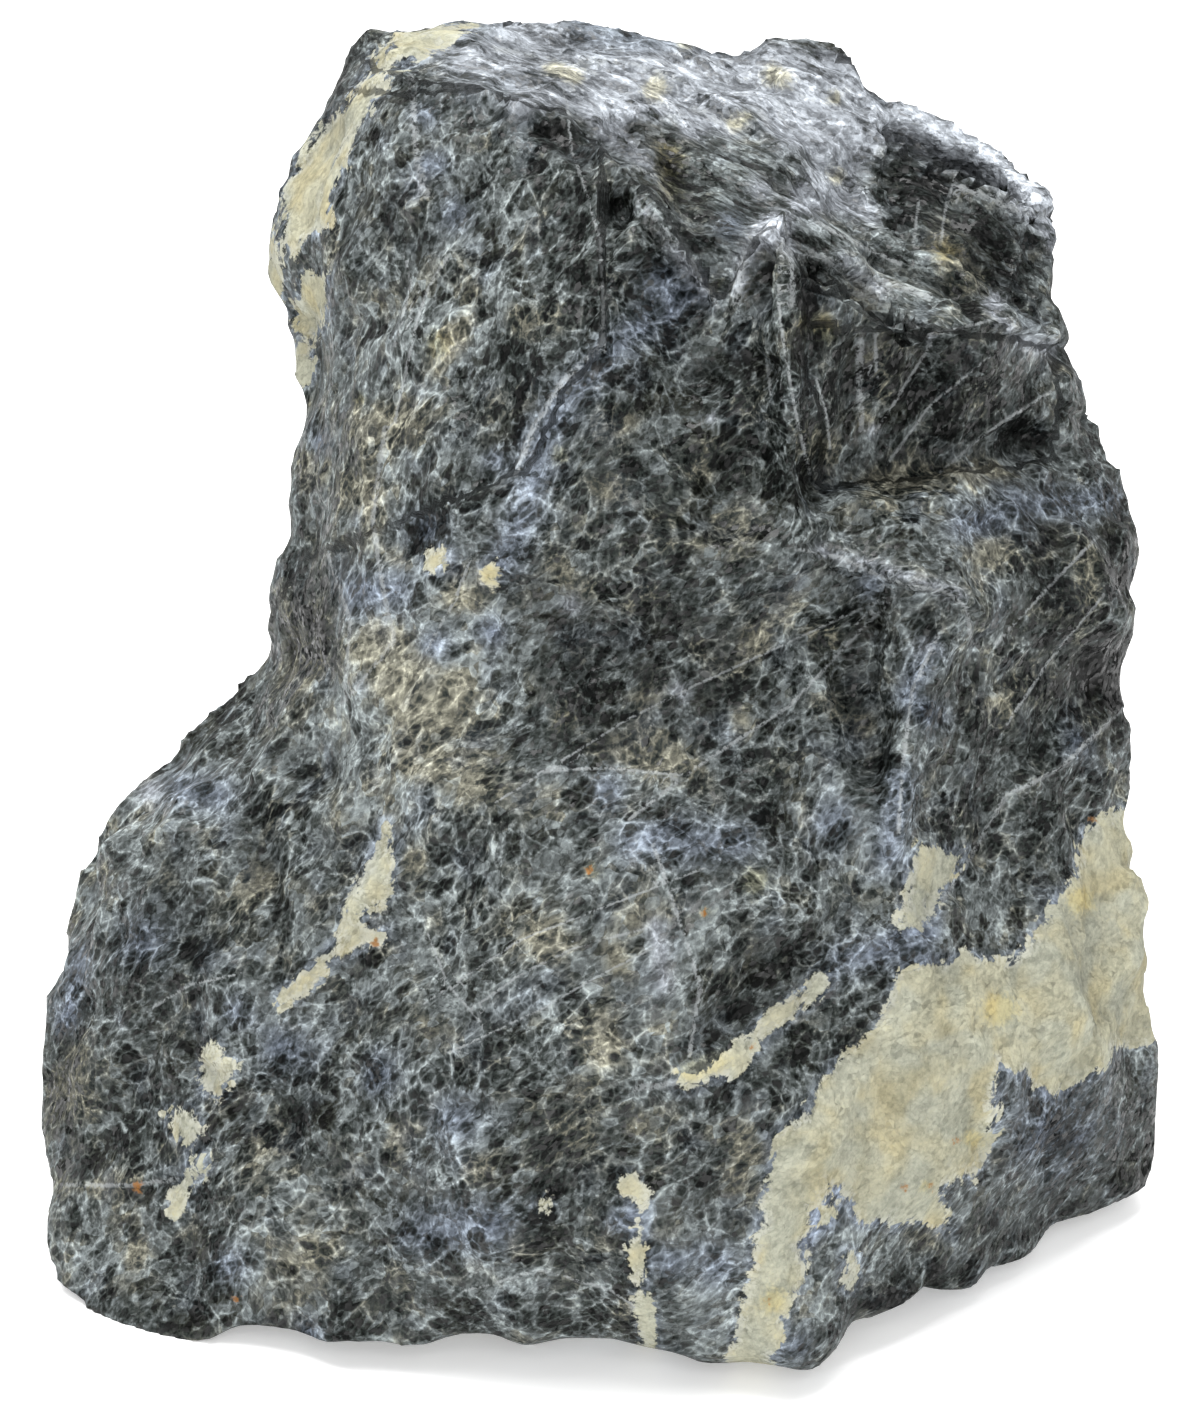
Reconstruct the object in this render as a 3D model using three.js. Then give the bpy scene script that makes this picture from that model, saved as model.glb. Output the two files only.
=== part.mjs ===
// A rough piece of sodalite, about the size of two fists, standing on the worn flat under its base.
//
// The stone broke out of the rock along fracture faces. Its corners are set out below on the broad
// front face: x to the right, y up the face and z out of it, in millimetres. The face leans back by
// LEAN, so the whole is tipped back by that much and then cut level at the sole.
//
// The finished stone stands with +Z up and its front face towards -Y. The origin is under the middle
// of the stone, on the surface that it stands on.

import * as THREE from "three";
import { ConvexHull } from "three/addons/math/ConvexHull.js";
import { ImprovedNoise } from "three/addons/math/ImprovedNoise.js";
import { TessellateModifier } from "three/addons/modifiers/TessellateModifier.js";
import { mergeVertices } from "three/addons/utils/BufferGeometryUtils.js";

// ---- Driving dimensions, in millimetres and degrees ----

const LEAN = 20; // how far the front face leans back from upright
const SOLE_HEIGHT = 10.5; // where the level sole cuts the tipped stone, above the frame's own zero
const HEART = [5, 92, -10]; // a point inside, from which every bit of the surface can be seen
const LONGEST_EDGE = 6.4; // the fracture faces are cut up until no edge is longer than this
const CUTS = 12; // rounds of cutting, enough for the largest face
const WEAR = 0.3; // how much of an edge's sharpness is worn off, from 0 to 1

// ---- Corners of the fracture faces: [x, y, z] on the leaning face ----

const CORNERS = {
  // The edge all round the stone, where the front turns to the back: clockwise from the top left.
  topRim: [
    [-26, 150.5, -12], [-24, 151.5, -14], [-14, 152, -18], [-7, 152.5, -20], [0, 152, -20],
    [11.5, 151, -20], [18.5, 149.5, -18], [22, 150, -16], [27, 149.5, -15],
  ],
  rightRim: [
    [29.5, 147.5, -13], [32.5, 144, -11], [39, 142, -11], [46, 138, -11], [50, 132.5, -8],
    [51.5, 127.5, -6], [51.5, 120.5, -4], [52, 114.5, -4], [53, 111, -6], [56.5, 105.5, -10],
    [57.5, 101.5, -9], [60, 97, -8], [60.5, 91.5, -6], [59, 81, -4], [58.5, 67.5, -4],
    [57.5, 64.5, -3], [60, 56.5, -3], [60.5, 46.5, -3], [61.5, 36, -6], [63.5, 30, -10],
    [63, 23, -12], [60.5, 18, -12],
  ],
  bottomRim: [
    [50.5, 15, -5], [39.5, 11, 8], [27, 7, 20], [22, 4, 26], [19, 4, 30], [14.5, 5, 31],
    [2, 7, 30], [-10.5, 7.5, 27], [-21, 7, 25], [-26.5, 6.5, 23], [-39, 7.5, 18], [-48, 8, 14],
    [-54.5, 9, 10],
  ],
  footRim: [
    [-57.5, 12, 6], [-60.5, 17, 2], [-61.5, 23, -2], [-62.5, 31.5, -6], [-62.5, 39.5, -8],
    [-60, 45, -9], [-58.5, 53, -10], [-56.5, 59, -11], [-51, 64.5, -12], [-46, 70.5, -12],
    [-41.5, 74.5, -12], [-37, 77, -8],
  ],
  leftRim: [
    [-35, 81, -4], [-35.5, 85.5, -4], [-34.5, 93.5, -4], [-33.5, 102.5, -3], [-33, 108.5, -4],
    [-34.5, 115, -6], [-37, 120, -9], [-37.5, 125.5, -10], [-37, 132, -11], [-34.5, 138, -11],
    [-31.5, 144, -12], [-28.5, 148, -12],
  ],

  // The top slopes down to the right, from the brow over the front face to the nose.
  terrace: [
    [-21.5, 148.5, -6], [-14.5, 148, -6], [-2, 147.5, -6], [2, 143.5, 2], [10, 146, -7],
    [24, 144.5, -7], [6.5, 139.5, 7], [17, 140, 1], [8, 131, 17], [15, 131.5, 16], [23, 137, 2],
    [11, 125.5, 24], [21, 130, 14],
  ],
  brow: [
    [-24.5, 142.5, 5], [-20.5, 142.5, 9.5], [-17, 142, 12.5], [-13, 140.5, 15.5], [-8.5, 139, 18.5],
    [-4.5, 137, 20.5], [-0.5, 133.5, 24], [3.5, 129, 27], [8.5, 123, 30.5],
  ],
  leftEdge: [
    [-27, 137, 6], [-28.5, 131.5, 6], [-29.5, 126.5, 6.5], [-30, 120.5, 7], [-30, 113, 8.5],
    [-30, 104, 9.5], [-30.5, 96, 9.5], [-31.5, 88.5, 8.5],
  ],
  nose: [
    [17.5, 124.5, 34.5], [18.5, 119.5, 38], [19, 113, 38.5], [19.5, 106.5, 38], [20.5, 101, 36.5],
  ],
  noseSides: [
    [13.5, 118, 30], [14.5, 112, 31], [15.5, 105.5, 32.5], [22, 125, 24], [24, 112.5, 20.5],
    [24.5, 106, 22],
  ],

  // The right shoulder is lower than the top, with a bay broken out between the two.
  bay: [
    [31.5, 139.5, -4], [37, 136.5, -4.5], [43, 133, -3], [48, 129, -3], [27.5, 132.5, 0],
    [32.5, 133, -9], [34.5, 128.5, -9.5], [40.5, 127.5, -8], [46.5, 124, -4],
  ],
  shoulder: [
    [26.5, 126, 8], [31, 122, 12.5], [37, 120.5, 10], [45.5, 118.5, 4],
  ],
  upperLip: [
    [25, 119, 24], [28.5, 116.5, 27.5], [31.5, 115, 28.5], [35, 114, 28], [39, 114, 25],
    [43, 114, 20], [47, 114, 13.5], [49.5, 113.5, 6],
  ],
  overhang: [
    [29.5, 108, 18.5], [34, 108, 18], [38.5, 108, 15.5], [43, 108, 11.5], [47.5, 108.5, 5.5],
  ],
  upperHollow: [
    [7, 98.5, 31], [15, 97.5, 29], [22.5, 98.5, 24], [30, 100, 16.5], [36, 101.5, 13.5],
    [42, 102, 9], [48.5, 102.5, 3],
  ],
  ledge: [
    [27.5, 95, 26], [33.5, 94.5, 24.5], [39, 94, 21], [44.5, 94, 17], [50.5, 94, 12],
  ],
  lowerLip: [
    [11.5, 90, 35.5], [17, 90.5, 35.5], [21.5, 90, 35.5], [25.5, 88.5, 35], [30, 87, 34],
    [34, 86, 32.5], [37.5, 84.5, 30.5], [41.5, 84.5, 24], [47, 85, 17], [54, 85.5, 9],
  ],
  lowerHollow: [
    [20, 81, 30], [25.5, 81, 25.5], [25.5, 74.5, 25], [27, 68, 26.5], [40, 78, 19],
    [40.5, 67, 18.5], [50, 78.5, 8], [52.5, 69.5, 5],
  ],
  rib: [
    [36.5, 81, 30], [34.5, 76, 29.5], [33, 71, 29], [31.5, 65, 29], [30.5, 58.5, 29.5],
  ],

  frontFace: [
    [-21.5, 133.5, 14.5], [-13, 131, 21], [-5, 128.5, 26.5], [-1, 123, 30.5], [-18.5, 122.5, 21.5],
    [-9, 117, 29], [-0.5, 115, 33], [6, 115.5, 29.5], [9.5, 107, 29.5], [-24, 113, 18],
    [-18.5, 106.5, 26], [-9, 105, 32], [-0.5, 103, 35], [-25, 97.5, 19.5], [-13, 93.5, 31],
    [-3, 91.5, 35], [-19.5, 86, 28], [-25.5, 82, 21], [-32, 79.5, 9.5], [-10, 81, 33],
    [0, 80.5, 35], [10.5, 80, 34.5], [-25, 71.5, 22.5], [-14, 73, 30], [-4, 70.5, 33.5],
    [8, 70.5, 33.5], [18.5, 69, 31.5],
  ],
  belly: [
    [-18, 57, 31.5], [-8.5, 59, 35.5], [3, 60, 36.5], [13.5, 60.5, 35], [22.5, 60, 32],
    [-21, 45, 31], [-11, 44, 37.5], [2, 46, 39], [14, 48, 37.5], [22, 46.5, 33.5], [-23, 32.5, 30],
    [-12, 30, 38], [1.5, 31.5, 40], [14, 33, 38.5], [21, 33, 35], [-24, 19.5, 29],
    [-10.5, 17.5, 36], [4, 18, 38.5], [14.5, 20, 37.5],
  ],
  foot: [
    [-40.5, 68, -2], [-52, 58, 2], [-46, 59, 8.5], [-40.5, 60.5, 12.5], [-56, 44, 4],
    [-49, 44.5, 11], [-41, 46, 17], [-57.5, 29, 4], [-50, 29, 12], [-41, 31, 20], [-54, 18, 8],
    [-47.5, 15, 14.5], [-36.5, 16, 22.5],
  ],
  footSeam: [
    [-36.5, 68.5, 6.5], [-35, 61, 13], [-34.5, 53, 17], [-29.5, 61, 19.5], [-29.5, 48, 24],
    [-34, 40.5, 21.5], [-35.5, 27, 22.5],
  ],
  rightFlank: [
    [38.5, 58.5, 21], [48.5, 59.5, 11], [34, 48, 27], [42, 46.5, 20], [52, 46, 12], [28, 38, 31.5],
    [36, 35.5, 26], [45, 34, 19], [54, 35, 9],
  ],
  lowerFlank: [
    [24, 25, 33.5], [33, 22.5, 26], [43, 22.5, 15], [54.5, 24.5, 2], [18.5, 13, 35.5],
    [26.5, 13, 27.5], [36, 13, 16],
  ],
  back: [
    [-14, 144, -30], [12, 141, -33], [33, 132, -27], [-25, 121, -28], [-11, 128, -38],
    [18, 127, -41], [36, 118, -30], [0, 117, -43], [-20, 106, -37], [-5, 102, -47], [26, 106, -42],
    [48, 100, -29], [18, 92, -51], [36, 88, -42], [-27, 88, -35], [-10, 84, -50], [6, 74, -54],
    [44, 72, -38], [28, 68, -50], [-34, 68, -34], [-20, 62, -47], [-50, 50, -31], [-36, 44, -42],
    [-4, 50, -57], [20, 46, -56], [42, 46, -46], [56, 48, -30], [-54, 31, -29], [-18, 38, -52],
    [8, 36, -58], [32, 35, -54], [56, 30, -34], [-38, 31, -41],
  ],

  // The underside is hollow round its edge, and its middle hangs lower than the sole that is cut.
  undersideEdge: [
    [-42, 12, 4], [-22, 10, 12], [0, 6.5, 18], [16, 7, 14], [31, 10, 5], [46, 20, -18],
    [31, 30, -45], [10, 33, -50], [-12, 31, -46], [-36, 24, -30], [-50, 20, -12],
  ],
  undersideMiddle: [
    [-18, 8, -6], [12, 8, -8], [24, 13, -24], [0, 14, -28], [-20, 14, -22],
  ],
};

// ---- Relief that the fracture left on its faces: how far it swings in and out, in millimetres ----

const RELIEF = [
  { reach: 26, height: 1.6 }, // broad swells
  { reach: 11, height: 1.7 }, // lumps
  { reach: 6, height: 1.4 }, // chips
];

const heart = new THREE.Vector3(...HEART);
const noise = new ImprovedNoise();

// The flat faces between the corners, seen from the heart: corners that are neighbours on a ball
// round the heart are joined, three to a face.
function fractureFaces() {
  const arms = Object.values(CORNERS).flat().map((corner) => new THREE.Vector3(...corner).sub(heart));
  const onBall = arms.map((arm) => arm.clone().normalize());
  const hull = new ConvexHull().setFromPoints(onBall);
  const ends = hull.faces.flatMap((face) =>
    [0, 1, 2].map((side) => arms[onBall.indexOf(face.getEdge(side).head().point)]));
  return new THREE.BufferGeometry().setFromPoints(ends);
}

// For each vertex of a triangle mesh, the vertices that it shares an edge with.
function neighbourLists(index, count) {
  const lists = Array.from({ length: count }, () => new Set());
  for (let i = 0; i < index.length; i += 3) {
    const triangle = [index[i], index[i + 1], index[i + 2]];
    triangle.forEach((v, k) => lists[v].add(triangle[(k + 1) % 3]).add(triangle[(k + 2) % 3]));
  }
  return lists.map((list) => [...list]);
}

// Draws each point towards the middle of its neighbours, which rounds edges and leaves flats alone.
function wearEdges(points, neighbours) {
  return points.map((point, i) => {
    const sum = neighbours[i].reduce((total, j) => total.add(points[j]), new THREE.Vector3());
    return point.clone().lerp(sum.divideScalar(neighbours[i].length), WEAR);
  });
}

// The way out of the stone at each vertex.
function vertexNormals(points, index) {
  const normals = points.map(() => new THREE.Vector3());
  for (let i = 0; i < index.length; i += 3) {
    const [a, b, c] = [index[i], index[i + 1], index[i + 2]];
    const face = points[b].clone().sub(points[a]).cross(points[c].clone().sub(points[a]));
    [a, b, c].forEach((v) => normals[v].add(face));
  }
  return normals.map((n) => n.normalize());
}

function reliefAt(point) {
  const swing = ({ reach, height }) =>
    height * noise.noise(point.x / reach + reach, point.y / reach - reach, point.z / reach);
  return RELIEF.reduce((sum, wave) => sum + swing(wave), 0);
}

// Tips the stone back onto its base and cuts it level: what lies below the sole is drawn up to it.
function standOnSole(points) {
  const tipped = new THREE.Matrix4().makeRotationX(THREE.MathUtils.degToRad(90 - LEAN));
  const middle = heart.clone().applyMatrix4(tipped);
  return points.map((point) => {
    const stood = point.clone().applyMatrix4(tipped);
    const share = (middle.z - SOLE_HEIGHT) / (middle.z - stood.z);
    return stood.z < SOLE_HEIGHT ? middle.clone().lerp(stood, share) : stood;
  });
}

function stoneGeometry() {
  const cut = new TessellateModifier(LONGEST_EDGE, CUTS).modify(fractureFaces());
  const geometry = mergeVertices(cut.translate(...HEART));
  const index = [...geometry.index.array];
  const position = geometry.getAttribute("position");
  let points = Array.from({ length: position.count }, (_, i) =>
    new THREE.Vector3().fromBufferAttribute(position, i));
  points = wearEdges(points, neighbourLists(index, points.length));
  const normals = vertexNormals(points, index);
  points = points.map((point, i) => point.clone().addScaledVector(normals[i], reliefAt(point)));
  points = standOnSole(points);
  points.forEach((point, i) => position.setXYZ(i, point.x, point.y, point.z));
  geometry.computeBoundingBox();
  const { min, max } = geometry.boundingBox;
  geometry.translate(-(min.x + max.x) / 2, -(min.y + max.y) / 2, -min.z);
  geometry.computeVertexNormals();
  return geometry;
}

const sodalite = new THREE.MeshStandardMaterial({ color: 0x4a4d52, roughness: 0.55, metalness: 0 });

const stone = new THREE.Mesh(stoneGeometry(), sodalite);
stone.name = "sodalite_stone";

const roughSodalite = new THREE.Group();
roughSodalite.add(stone);

export default roughSodalite;
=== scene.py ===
import math

import bmesh
import bpy
import numpy as np
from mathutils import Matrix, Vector


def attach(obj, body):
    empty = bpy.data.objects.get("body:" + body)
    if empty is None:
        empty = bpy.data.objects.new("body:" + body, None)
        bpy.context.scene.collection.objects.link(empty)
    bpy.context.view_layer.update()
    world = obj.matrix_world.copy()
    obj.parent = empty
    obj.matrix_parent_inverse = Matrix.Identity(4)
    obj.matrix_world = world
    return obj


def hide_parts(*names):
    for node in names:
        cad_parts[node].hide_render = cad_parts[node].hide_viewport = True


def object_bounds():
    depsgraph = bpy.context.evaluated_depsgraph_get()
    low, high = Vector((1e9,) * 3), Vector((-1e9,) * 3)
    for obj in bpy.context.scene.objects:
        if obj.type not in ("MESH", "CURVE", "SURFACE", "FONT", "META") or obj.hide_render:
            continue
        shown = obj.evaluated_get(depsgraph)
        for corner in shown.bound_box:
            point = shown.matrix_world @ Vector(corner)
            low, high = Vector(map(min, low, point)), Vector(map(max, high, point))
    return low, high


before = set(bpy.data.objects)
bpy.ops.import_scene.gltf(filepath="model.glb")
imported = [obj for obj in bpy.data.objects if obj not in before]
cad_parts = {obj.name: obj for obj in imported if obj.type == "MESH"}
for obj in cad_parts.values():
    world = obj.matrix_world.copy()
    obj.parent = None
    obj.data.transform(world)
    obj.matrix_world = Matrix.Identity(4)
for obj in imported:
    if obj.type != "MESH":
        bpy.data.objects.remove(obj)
cad_low, cad_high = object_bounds()
MM = 0.001

# ---- The camera ----
# It looks at the broad front face square on, from a little above, as one looks at a stone on a
# table. The face leans back by as much, so its middle plane is parallel to the picture.

LEAN = math.radians(20)
CAMERA_DISTANCE = 530 * MM
LENS_MM = 120
SENSOR_MM = 36
VIEW_WIDTH, VIEW_HEIGHT = 1200, 1426  # the front view, in its own points
VIEW_MIDDLE = Vector((-0.2, -1.3, 58.1)) * MM  # what the middle of the front view shows

to_camera = Vector((0, -math.cos(LEAN), math.sin(LEAN)))
up_the_face = Vector((0, math.sin(LEAN), math.cos(LEAN)))
camera_data = bpy.data.cameras.new("front_camera")
camera_data.lens = LENS_MM
camera_data.sensor_width = SENSOR_MM
camera_data.clip_start = 10 * MM
camera = bpy.data.objects.new("front_camera", camera_data)
camera.location = VIEW_MIDDLE + to_camera * CAMERA_DISTANCE
camera.rotation_euler = (-to_camera).to_track_quat("-Z", "Y").to_euler()
bpy.context.scene.collection.objects.link(camera)
bpy.context.scene.camera = camera

# ---- The stone's body ----
# One block of rock, broken out along fracture faces. It starts as the solid's own shape, cut up
# finely, and is then given the ledges, hollows and chips that the breaking left.

GRAIN_STEP = 0.85 * MM  # the size of the fine mesh's squares

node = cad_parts["sodalite_stone"]
whole = bmesh.new()
whole.from_mesh(node.data)
bmesh.ops.remove_doubles(whole, verts=whole.verts, dist=1e-6)
stone_mesh = bpy.data.meshes.new("rough_sodalite")
whole.to_mesh(stone_mesh)
whole.free()
stone = bpy.data.objects.new("rough_sodalite", stone_mesh)
bpy.context.scene.collection.objects.link(stone)
remesh = stone.modifiers.new("even squares", "REMESH")
remesh.mode = "VOXEL"
remesh.voxel_size = GRAIN_STEP
remesh.adaptivity = 0


def bake_modifiers(piece):
    """The piece's evaluated shape becomes its plain mesh, and its modifiers go."""
    bpy.context.view_layer.update()
    finished = piece.evaluated_get(bpy.context.evaluated_depsgraph_get())
    new_mesh = bpy.data.meshes.new_from_object(finished)
    piece.modifiers.clear()
    piece.data = new_mesh


def vertex_rows(piece, field):
    """A vertex property of three numbers, one row for each vertex."""
    rows = np.empty(len(piece.data.vertices) * 3, np.float32)
    piece.data.vertices.foreach_get(field, rows)
    return rows.reshape(-1, 3).astype(float)


def face_places(places):
    """Places on the leaning face, in millimetres: right, up the face, out of it."""
    away = (places - np.array(VIEW_MIDDLE)) / MM
    return away[:, 0], away @ np.array(up_the_face), away @ np.array(to_camera)


def view_places(places):
    """Where the front view shows each place, in the view's points."""
    right, up, out = face_places(places)
    points_per_mm = VIEW_HEIGHT * LENS_MM / SENSOR_MM / (CAMERA_DISTANCE / MM - out)
    return np.stack([VIEW_WIDTH / 2 + right * points_per_mm, VIEW_HEIGHT / 2 - up * points_per_mm], 1)


def smooth_rise(values, low, high):
    """0 up to low, 1 from high on, and smooth between."""
    share = np.clip((values - low) / (high - low), 0, 1)
    return share * share * (3 - 2 * share)


def facing_camera(places, normals, low, high):
    """0 where the surface turns away from the camera, 1 where it faces it, and smooth between."""
    to_eye = np.array(camera.location) - places
    to_eye /= np.linalg.norm(to_eye, axis=1)[:, None]
    return smooth_rise((normals * to_eye).sum(1), low, high)


def beside_path(points, path):
    """How far points lie from a path, how far across its line (+ below it), and past its ends."""
    if len(path) == 1:
        path = [path[0], (path[0][0] + 1, path[0][1])]
    nearest = np.full(len(points), np.inf)
    across = np.zeros(len(points))
    past = np.zeros(len(points))
    for number, (start, end) in enumerate(zip(path, path[1:])):
        along = np.array(end, float) - start
        length = np.linalg.norm(along)
        along /= length
        away = points - start
        run = away @ along
        side = along[0] * away[:, 1] - along[1] * away[:, 0]
        before = np.maximum(-run, 0)
        after = np.maximum(run - length, 0)
        distance = np.hypot(side, before + after)
        closer = distance < nearest
        past_end = before * (number == 0) + after * (number == len(path) - 2)
        nearest[closer] = distance[closer]
        across[closer] = side[closer]
        past[closer] = past_end[closer]
    return nearest, across, past


# Ridges and furrows: a path in the front view's points, half their width in points, and their height
# or depth in millimetres.
RIDGES = [
    ([(784, 222), (781, 250), (779, 290), (782, 330), (788, 370), (796, 420), (808, 468)], 11, 0.9),
    ([(742, 302), (745, 262), (757, 236), (782, 222)], 20, 1.2),
    ([(642, 205), (668, 233), (692, 262), (715, 302)], 9, 0.9),
    ([(600, 345), (560, 385), (530, 440), (515, 500)], 12, 0.5),
    ([(1050, 388), (1015, 415), (975, 440)], 9, 0.8),
    ([(971, 620), (940, 650), (912, 720), (900, 780), (890, 850)], 24, 1.5),
    ([(392, 80), (480, 92), (560, 118), (617, 170)], 16, 0.7),
    ([(600, 120), (596, 230), (602, 340)], 18, 0.6),
    ([(470, 778), (560, 768), (640, 778), (720, 762)], 22, 0.7),
    ([(110, 850), (150, 812), (215, 785), (245, 770)], 16, 0.7),
]
FURROWS = [
    ([(760, 258), (761, 296)], 10, 2.6),
    ([(802, 232), (830, 248)], 7, 1.6),
    ([(816, 268), (832, 278)], 12, 1.8),
    ([(812, 290), (822, 330)], 13, 1.2),
    ([(618, 190), (617, 212)], 13, 3.4),
    ([(624, 120), (642, 135)], 10, 2.2),
    ([(544, 122), (566, 138)], 9, 1.8),
    ([(578, 150), (592, 172)], 11, 0.9),
    ([(662, 138), (678, 160), (690, 195)], 17, 1.5),
    ([(655, 225), (680, 262)], 12, 1.2),
    ([(830, 478), (900, 468), (960, 452), (1045, 447)], 15, 1.6),
    ([(868, 610), (856, 690), (872, 765)], 20, 2.2),
    ([(935, 612), (930, 640)], 12, 1.2),
    ([(1000, 240), (1022, 262)], 22, 1.7),
    ([(1032, 285)], 12, 0.9),
    ([(955, 282), (970, 318)], 11, 1.0),
    ([(883, 260)], 10, 0.8),
    ([(1015, 430), (1038, 436)], 14, 2.0),
    ([(915, 360), (925, 395)], 17, 1.2),
    ([(246, 790), (262, 850), (272, 900)], 15, 1.5),
    ([(560, 600), (640, 640), (690, 690)], 50, 1.2),
    ([(760, 965), (800, 950)], 26, 1.2),
    ([(735, 1010), (770, 1000)], 20, 1.0),
    ([(700, 45), (770, 75)], 9, 1.0),
    ([(822, 50), (842, 60)], 10, 1.0),
    ([(530, 40), (560, 42)], 9, 0.8),
    ([(755, 365), (768, 372)], 14, 1.2),
    ([(700, 372), (712, 380)], 14, 1.2),
    ([(300, 760), (325, 778)], 20, 1.0),
    ([(1085, 660), (1090, 700)], 24, 1.0),
    ([(1055, 530), (1062, 600)], 20, 1.0),
]
# Ledges: a path, the lip's height and how far back it slopes, and the recess under it and its reach.
LEDGES = [
    ([(798, 224), (826, 246), (852, 270), (880, 300), (905, 324), (935, 336), (985, 326), (1055, 342)],
     0.8, 34, 1.0, 40),
    ([(905, 245), (888, 215), (884, 170), (886, 122), (922, 130), (942, 148), (965, 156), (1002, 180),
      (1044, 210)], 0.4, 22, 1.5, 85),
    ([(955, 186), (1000, 199), (1042, 220)], 0.4, 12, 0.9, 14),
    ([(846, 287), (872, 299), (898, 318)], 0.4, 14, 0.9, 14),
    ([(806, 248), (838, 262), (880, 284), (930, 300)], 0.4, 13, 0.6, 13),
    ([(862, 252), (905, 268), (955, 276)], 0.4, 13, 0.5, 13),
    ([(845, 559), (883, 578), (910, 588), (944, 590), (967, 609)], 0.6, 34, 1.5, 50),
    ([(642, 207), (668, 235), (711, 302)], 0.9, 30, 1.2, 40),
    ([(1056, 450), (1052, 345)], 0.6, 25, 1.0, 14),
    ([(592, 60), (660, 78), (735, 118), (790, 160), (815, 205)], 0.8, 24, 0.6, 26),
    ([(560, 26), (640, 44), (720, 70), (800, 84), (868, 100)], 0.7, 20, 0.5, 20),
    ([(820, 150), (860, 190), (930, 232), (990, 262)], 0.7, 26, 0.7, 24),
    ([(840, 215), (900, 250), (960, 285), (1040, 300)], 0.7, 22, 0.6, 22),
    ([(1050, 400), (1098, 420)], 0.6, 16, 0.6, 14),
    ([(800, 545), (850, 512), (930, 505), (1000, 520)], 0.6, 26, 0.5, 30),
    ([(975, 850), (1006, 796), (1059, 770), (1120, 712)], 0.5, 20, 0.5, 24),
    ([(505, 575), (560, 585), (590, 640), (585, 700)], 0.6, 26, 0.6, 30),
    ([(640, 190), (600, 300), (560, 390)], 0.5, 24, 0.5, 26),
    ([(120, 1190), (200, 1170), (270, 1120)], 0.4, 24, 0.4, 24),
    ([(430, 1110), (520, 1090), (640, 1075), (700, 1085)], 0.4, 30, 0.4, 26),
]
RIDGE_SHARPNESS = 1.5
EDGE_BLUR = 5  # points over which a lip turns into its recess
PAST_END = 22  # points over which a ledge dies out past its ends
RELIEF_TURN = (-0.2, 0.1)  # cosines of the angle to the camera between which they fade at the edge

# Regions of the front: the layered top, the two places where the grain runs steeply, and the smooth
# flank. Behind the front, the rock is layered where it lies flat.
LAYERED_REGION = [
    (300, 20), (392, 78), (480, 90), (560, 112), (640, 180), (722, 300), (765, 230), (795, 240),
    (830, 275), (868, 305), (918, 330), (983, 335), (1060, 350), (1130, 470), (1130, 100), (860, 0),
]
STEEP_REGION = [
    (250, 90), (560, 95), (600, 130), (606, 340), (560, 400), (530, 470), (300, 560), (230, 700),
]
OVERHANG_REGION = [(800, 325), (1060, 345), (1060, 455), (830, 480)]
CALM_REGION = [(1040, 1090), (1180, 1030), (1180, 1240), (960, 1330), (880, 1290), (985, 1180)]
REGION_BLUR = 8  # points to each side of a region's edge over which it fades
CALM_BLUR = 30
LYING_FLAT = (0.5, 0.75)  # upward parts of the normals between which rock starts to count as flat

# Broad swellings and dents of the outline: a path in the front view's points, how far to each side of
# it they reach, and the push to the right, forward and up in millimetres.
SHOVES = [
    ([(1125, 560), (1120, 700), (1120, 770)], 48, 2.2, 0, 0),
    ([(1130, 870), (1135, 960)], 40, 1.1, 0, 0),
    ([(1160, 1110)], 50, 1.2, 0, 0),
    ([(285, 330), (290, 400)], 40, 1.5, 0, 0),
    ([(262, 655)], 34, 1.3, 0, 0),
    ([(110, 830), (70, 950)], 60, -2.0, 0, 0),
    ([(40, 1060)], 60, -1.0, 0, 0),
    ([(60, 1240), (80, 1290)], 50, -1.6, 0, 0),
    ([(285, 140), (272, 250)], 40, -1.4, 0, 0),
    ([(780, 40), (840, 48)], 34, 0, 0, 1.7),
    ([(1040, 150)], 36, -0.9, 0, 0),
    ([(345, 50), (330, 90)], 30, -0.7, 0, 0),
    ([(180, 740), (150, 780)], 40, -1.0, 0, 0.4),
    ([(90, 1280), (190, 1310)], 50, -0.8, 0, -2.4),
    ([(430, 1325), (520, 1325)], 34, 0, 0, -1.6),
    ([(275, 285)], 30, -1.4, 0, 0),
    ([(1090, 400)], 26, 0.8, 0, 0),
    ([(66, 935)], 30, -0.9, 0, 0),
    ([(1132, 1185)], 34, 1.5, 0, 0),
    ([(1045, 1235)], 30, 0.6, 0, 0),
    ([(1118, 702)], 24, 0.9, 0, 0),
    ([(1128, 820)], 24, -0.8, 0, 0),
    ([(1151, 1000)], 26, -0.9, 0, 0),
    ([(520, 1345), (700, 1345)], 30, 0, 0, -0.6),
    ([(370, 38)], 22, -0.3, 0, 0.9),
    ([(312, 122)], 24, 1.2, 0, 0),
    ([(90, 1290), (200, 1325)], 36, 0, 2.2, 0),
    ([(345, 1340)], 40, 0, 2.2, 0),
    ([(790, 1350), (860, 1325), (925, 1295), (1010, 1258)], 30, 1.1, 2.2, 0),
    ([(500, 1345), (680, 1350)], 30, 0, -1.2, 0),
]

bake_modifiers(stone)
places = vertex_rows(stone, "co")
front_points = view_places(places)
for path, reach, right, forward, up in SHOVES:
    strength = np.exp(-((beside_path(front_points, path)[0] / reach) ** 2))
    places += strength[:, None] * np.array((right, -forward, up)) * MM
stone.data.vertices.foreach_set("co", places.astype(np.float32).ravel())
normals = vertex_rows(stone, "normal")
front_points = view_places(places)
facing = facing_camera(places, normals, *RELIEF_TURN)

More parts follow.
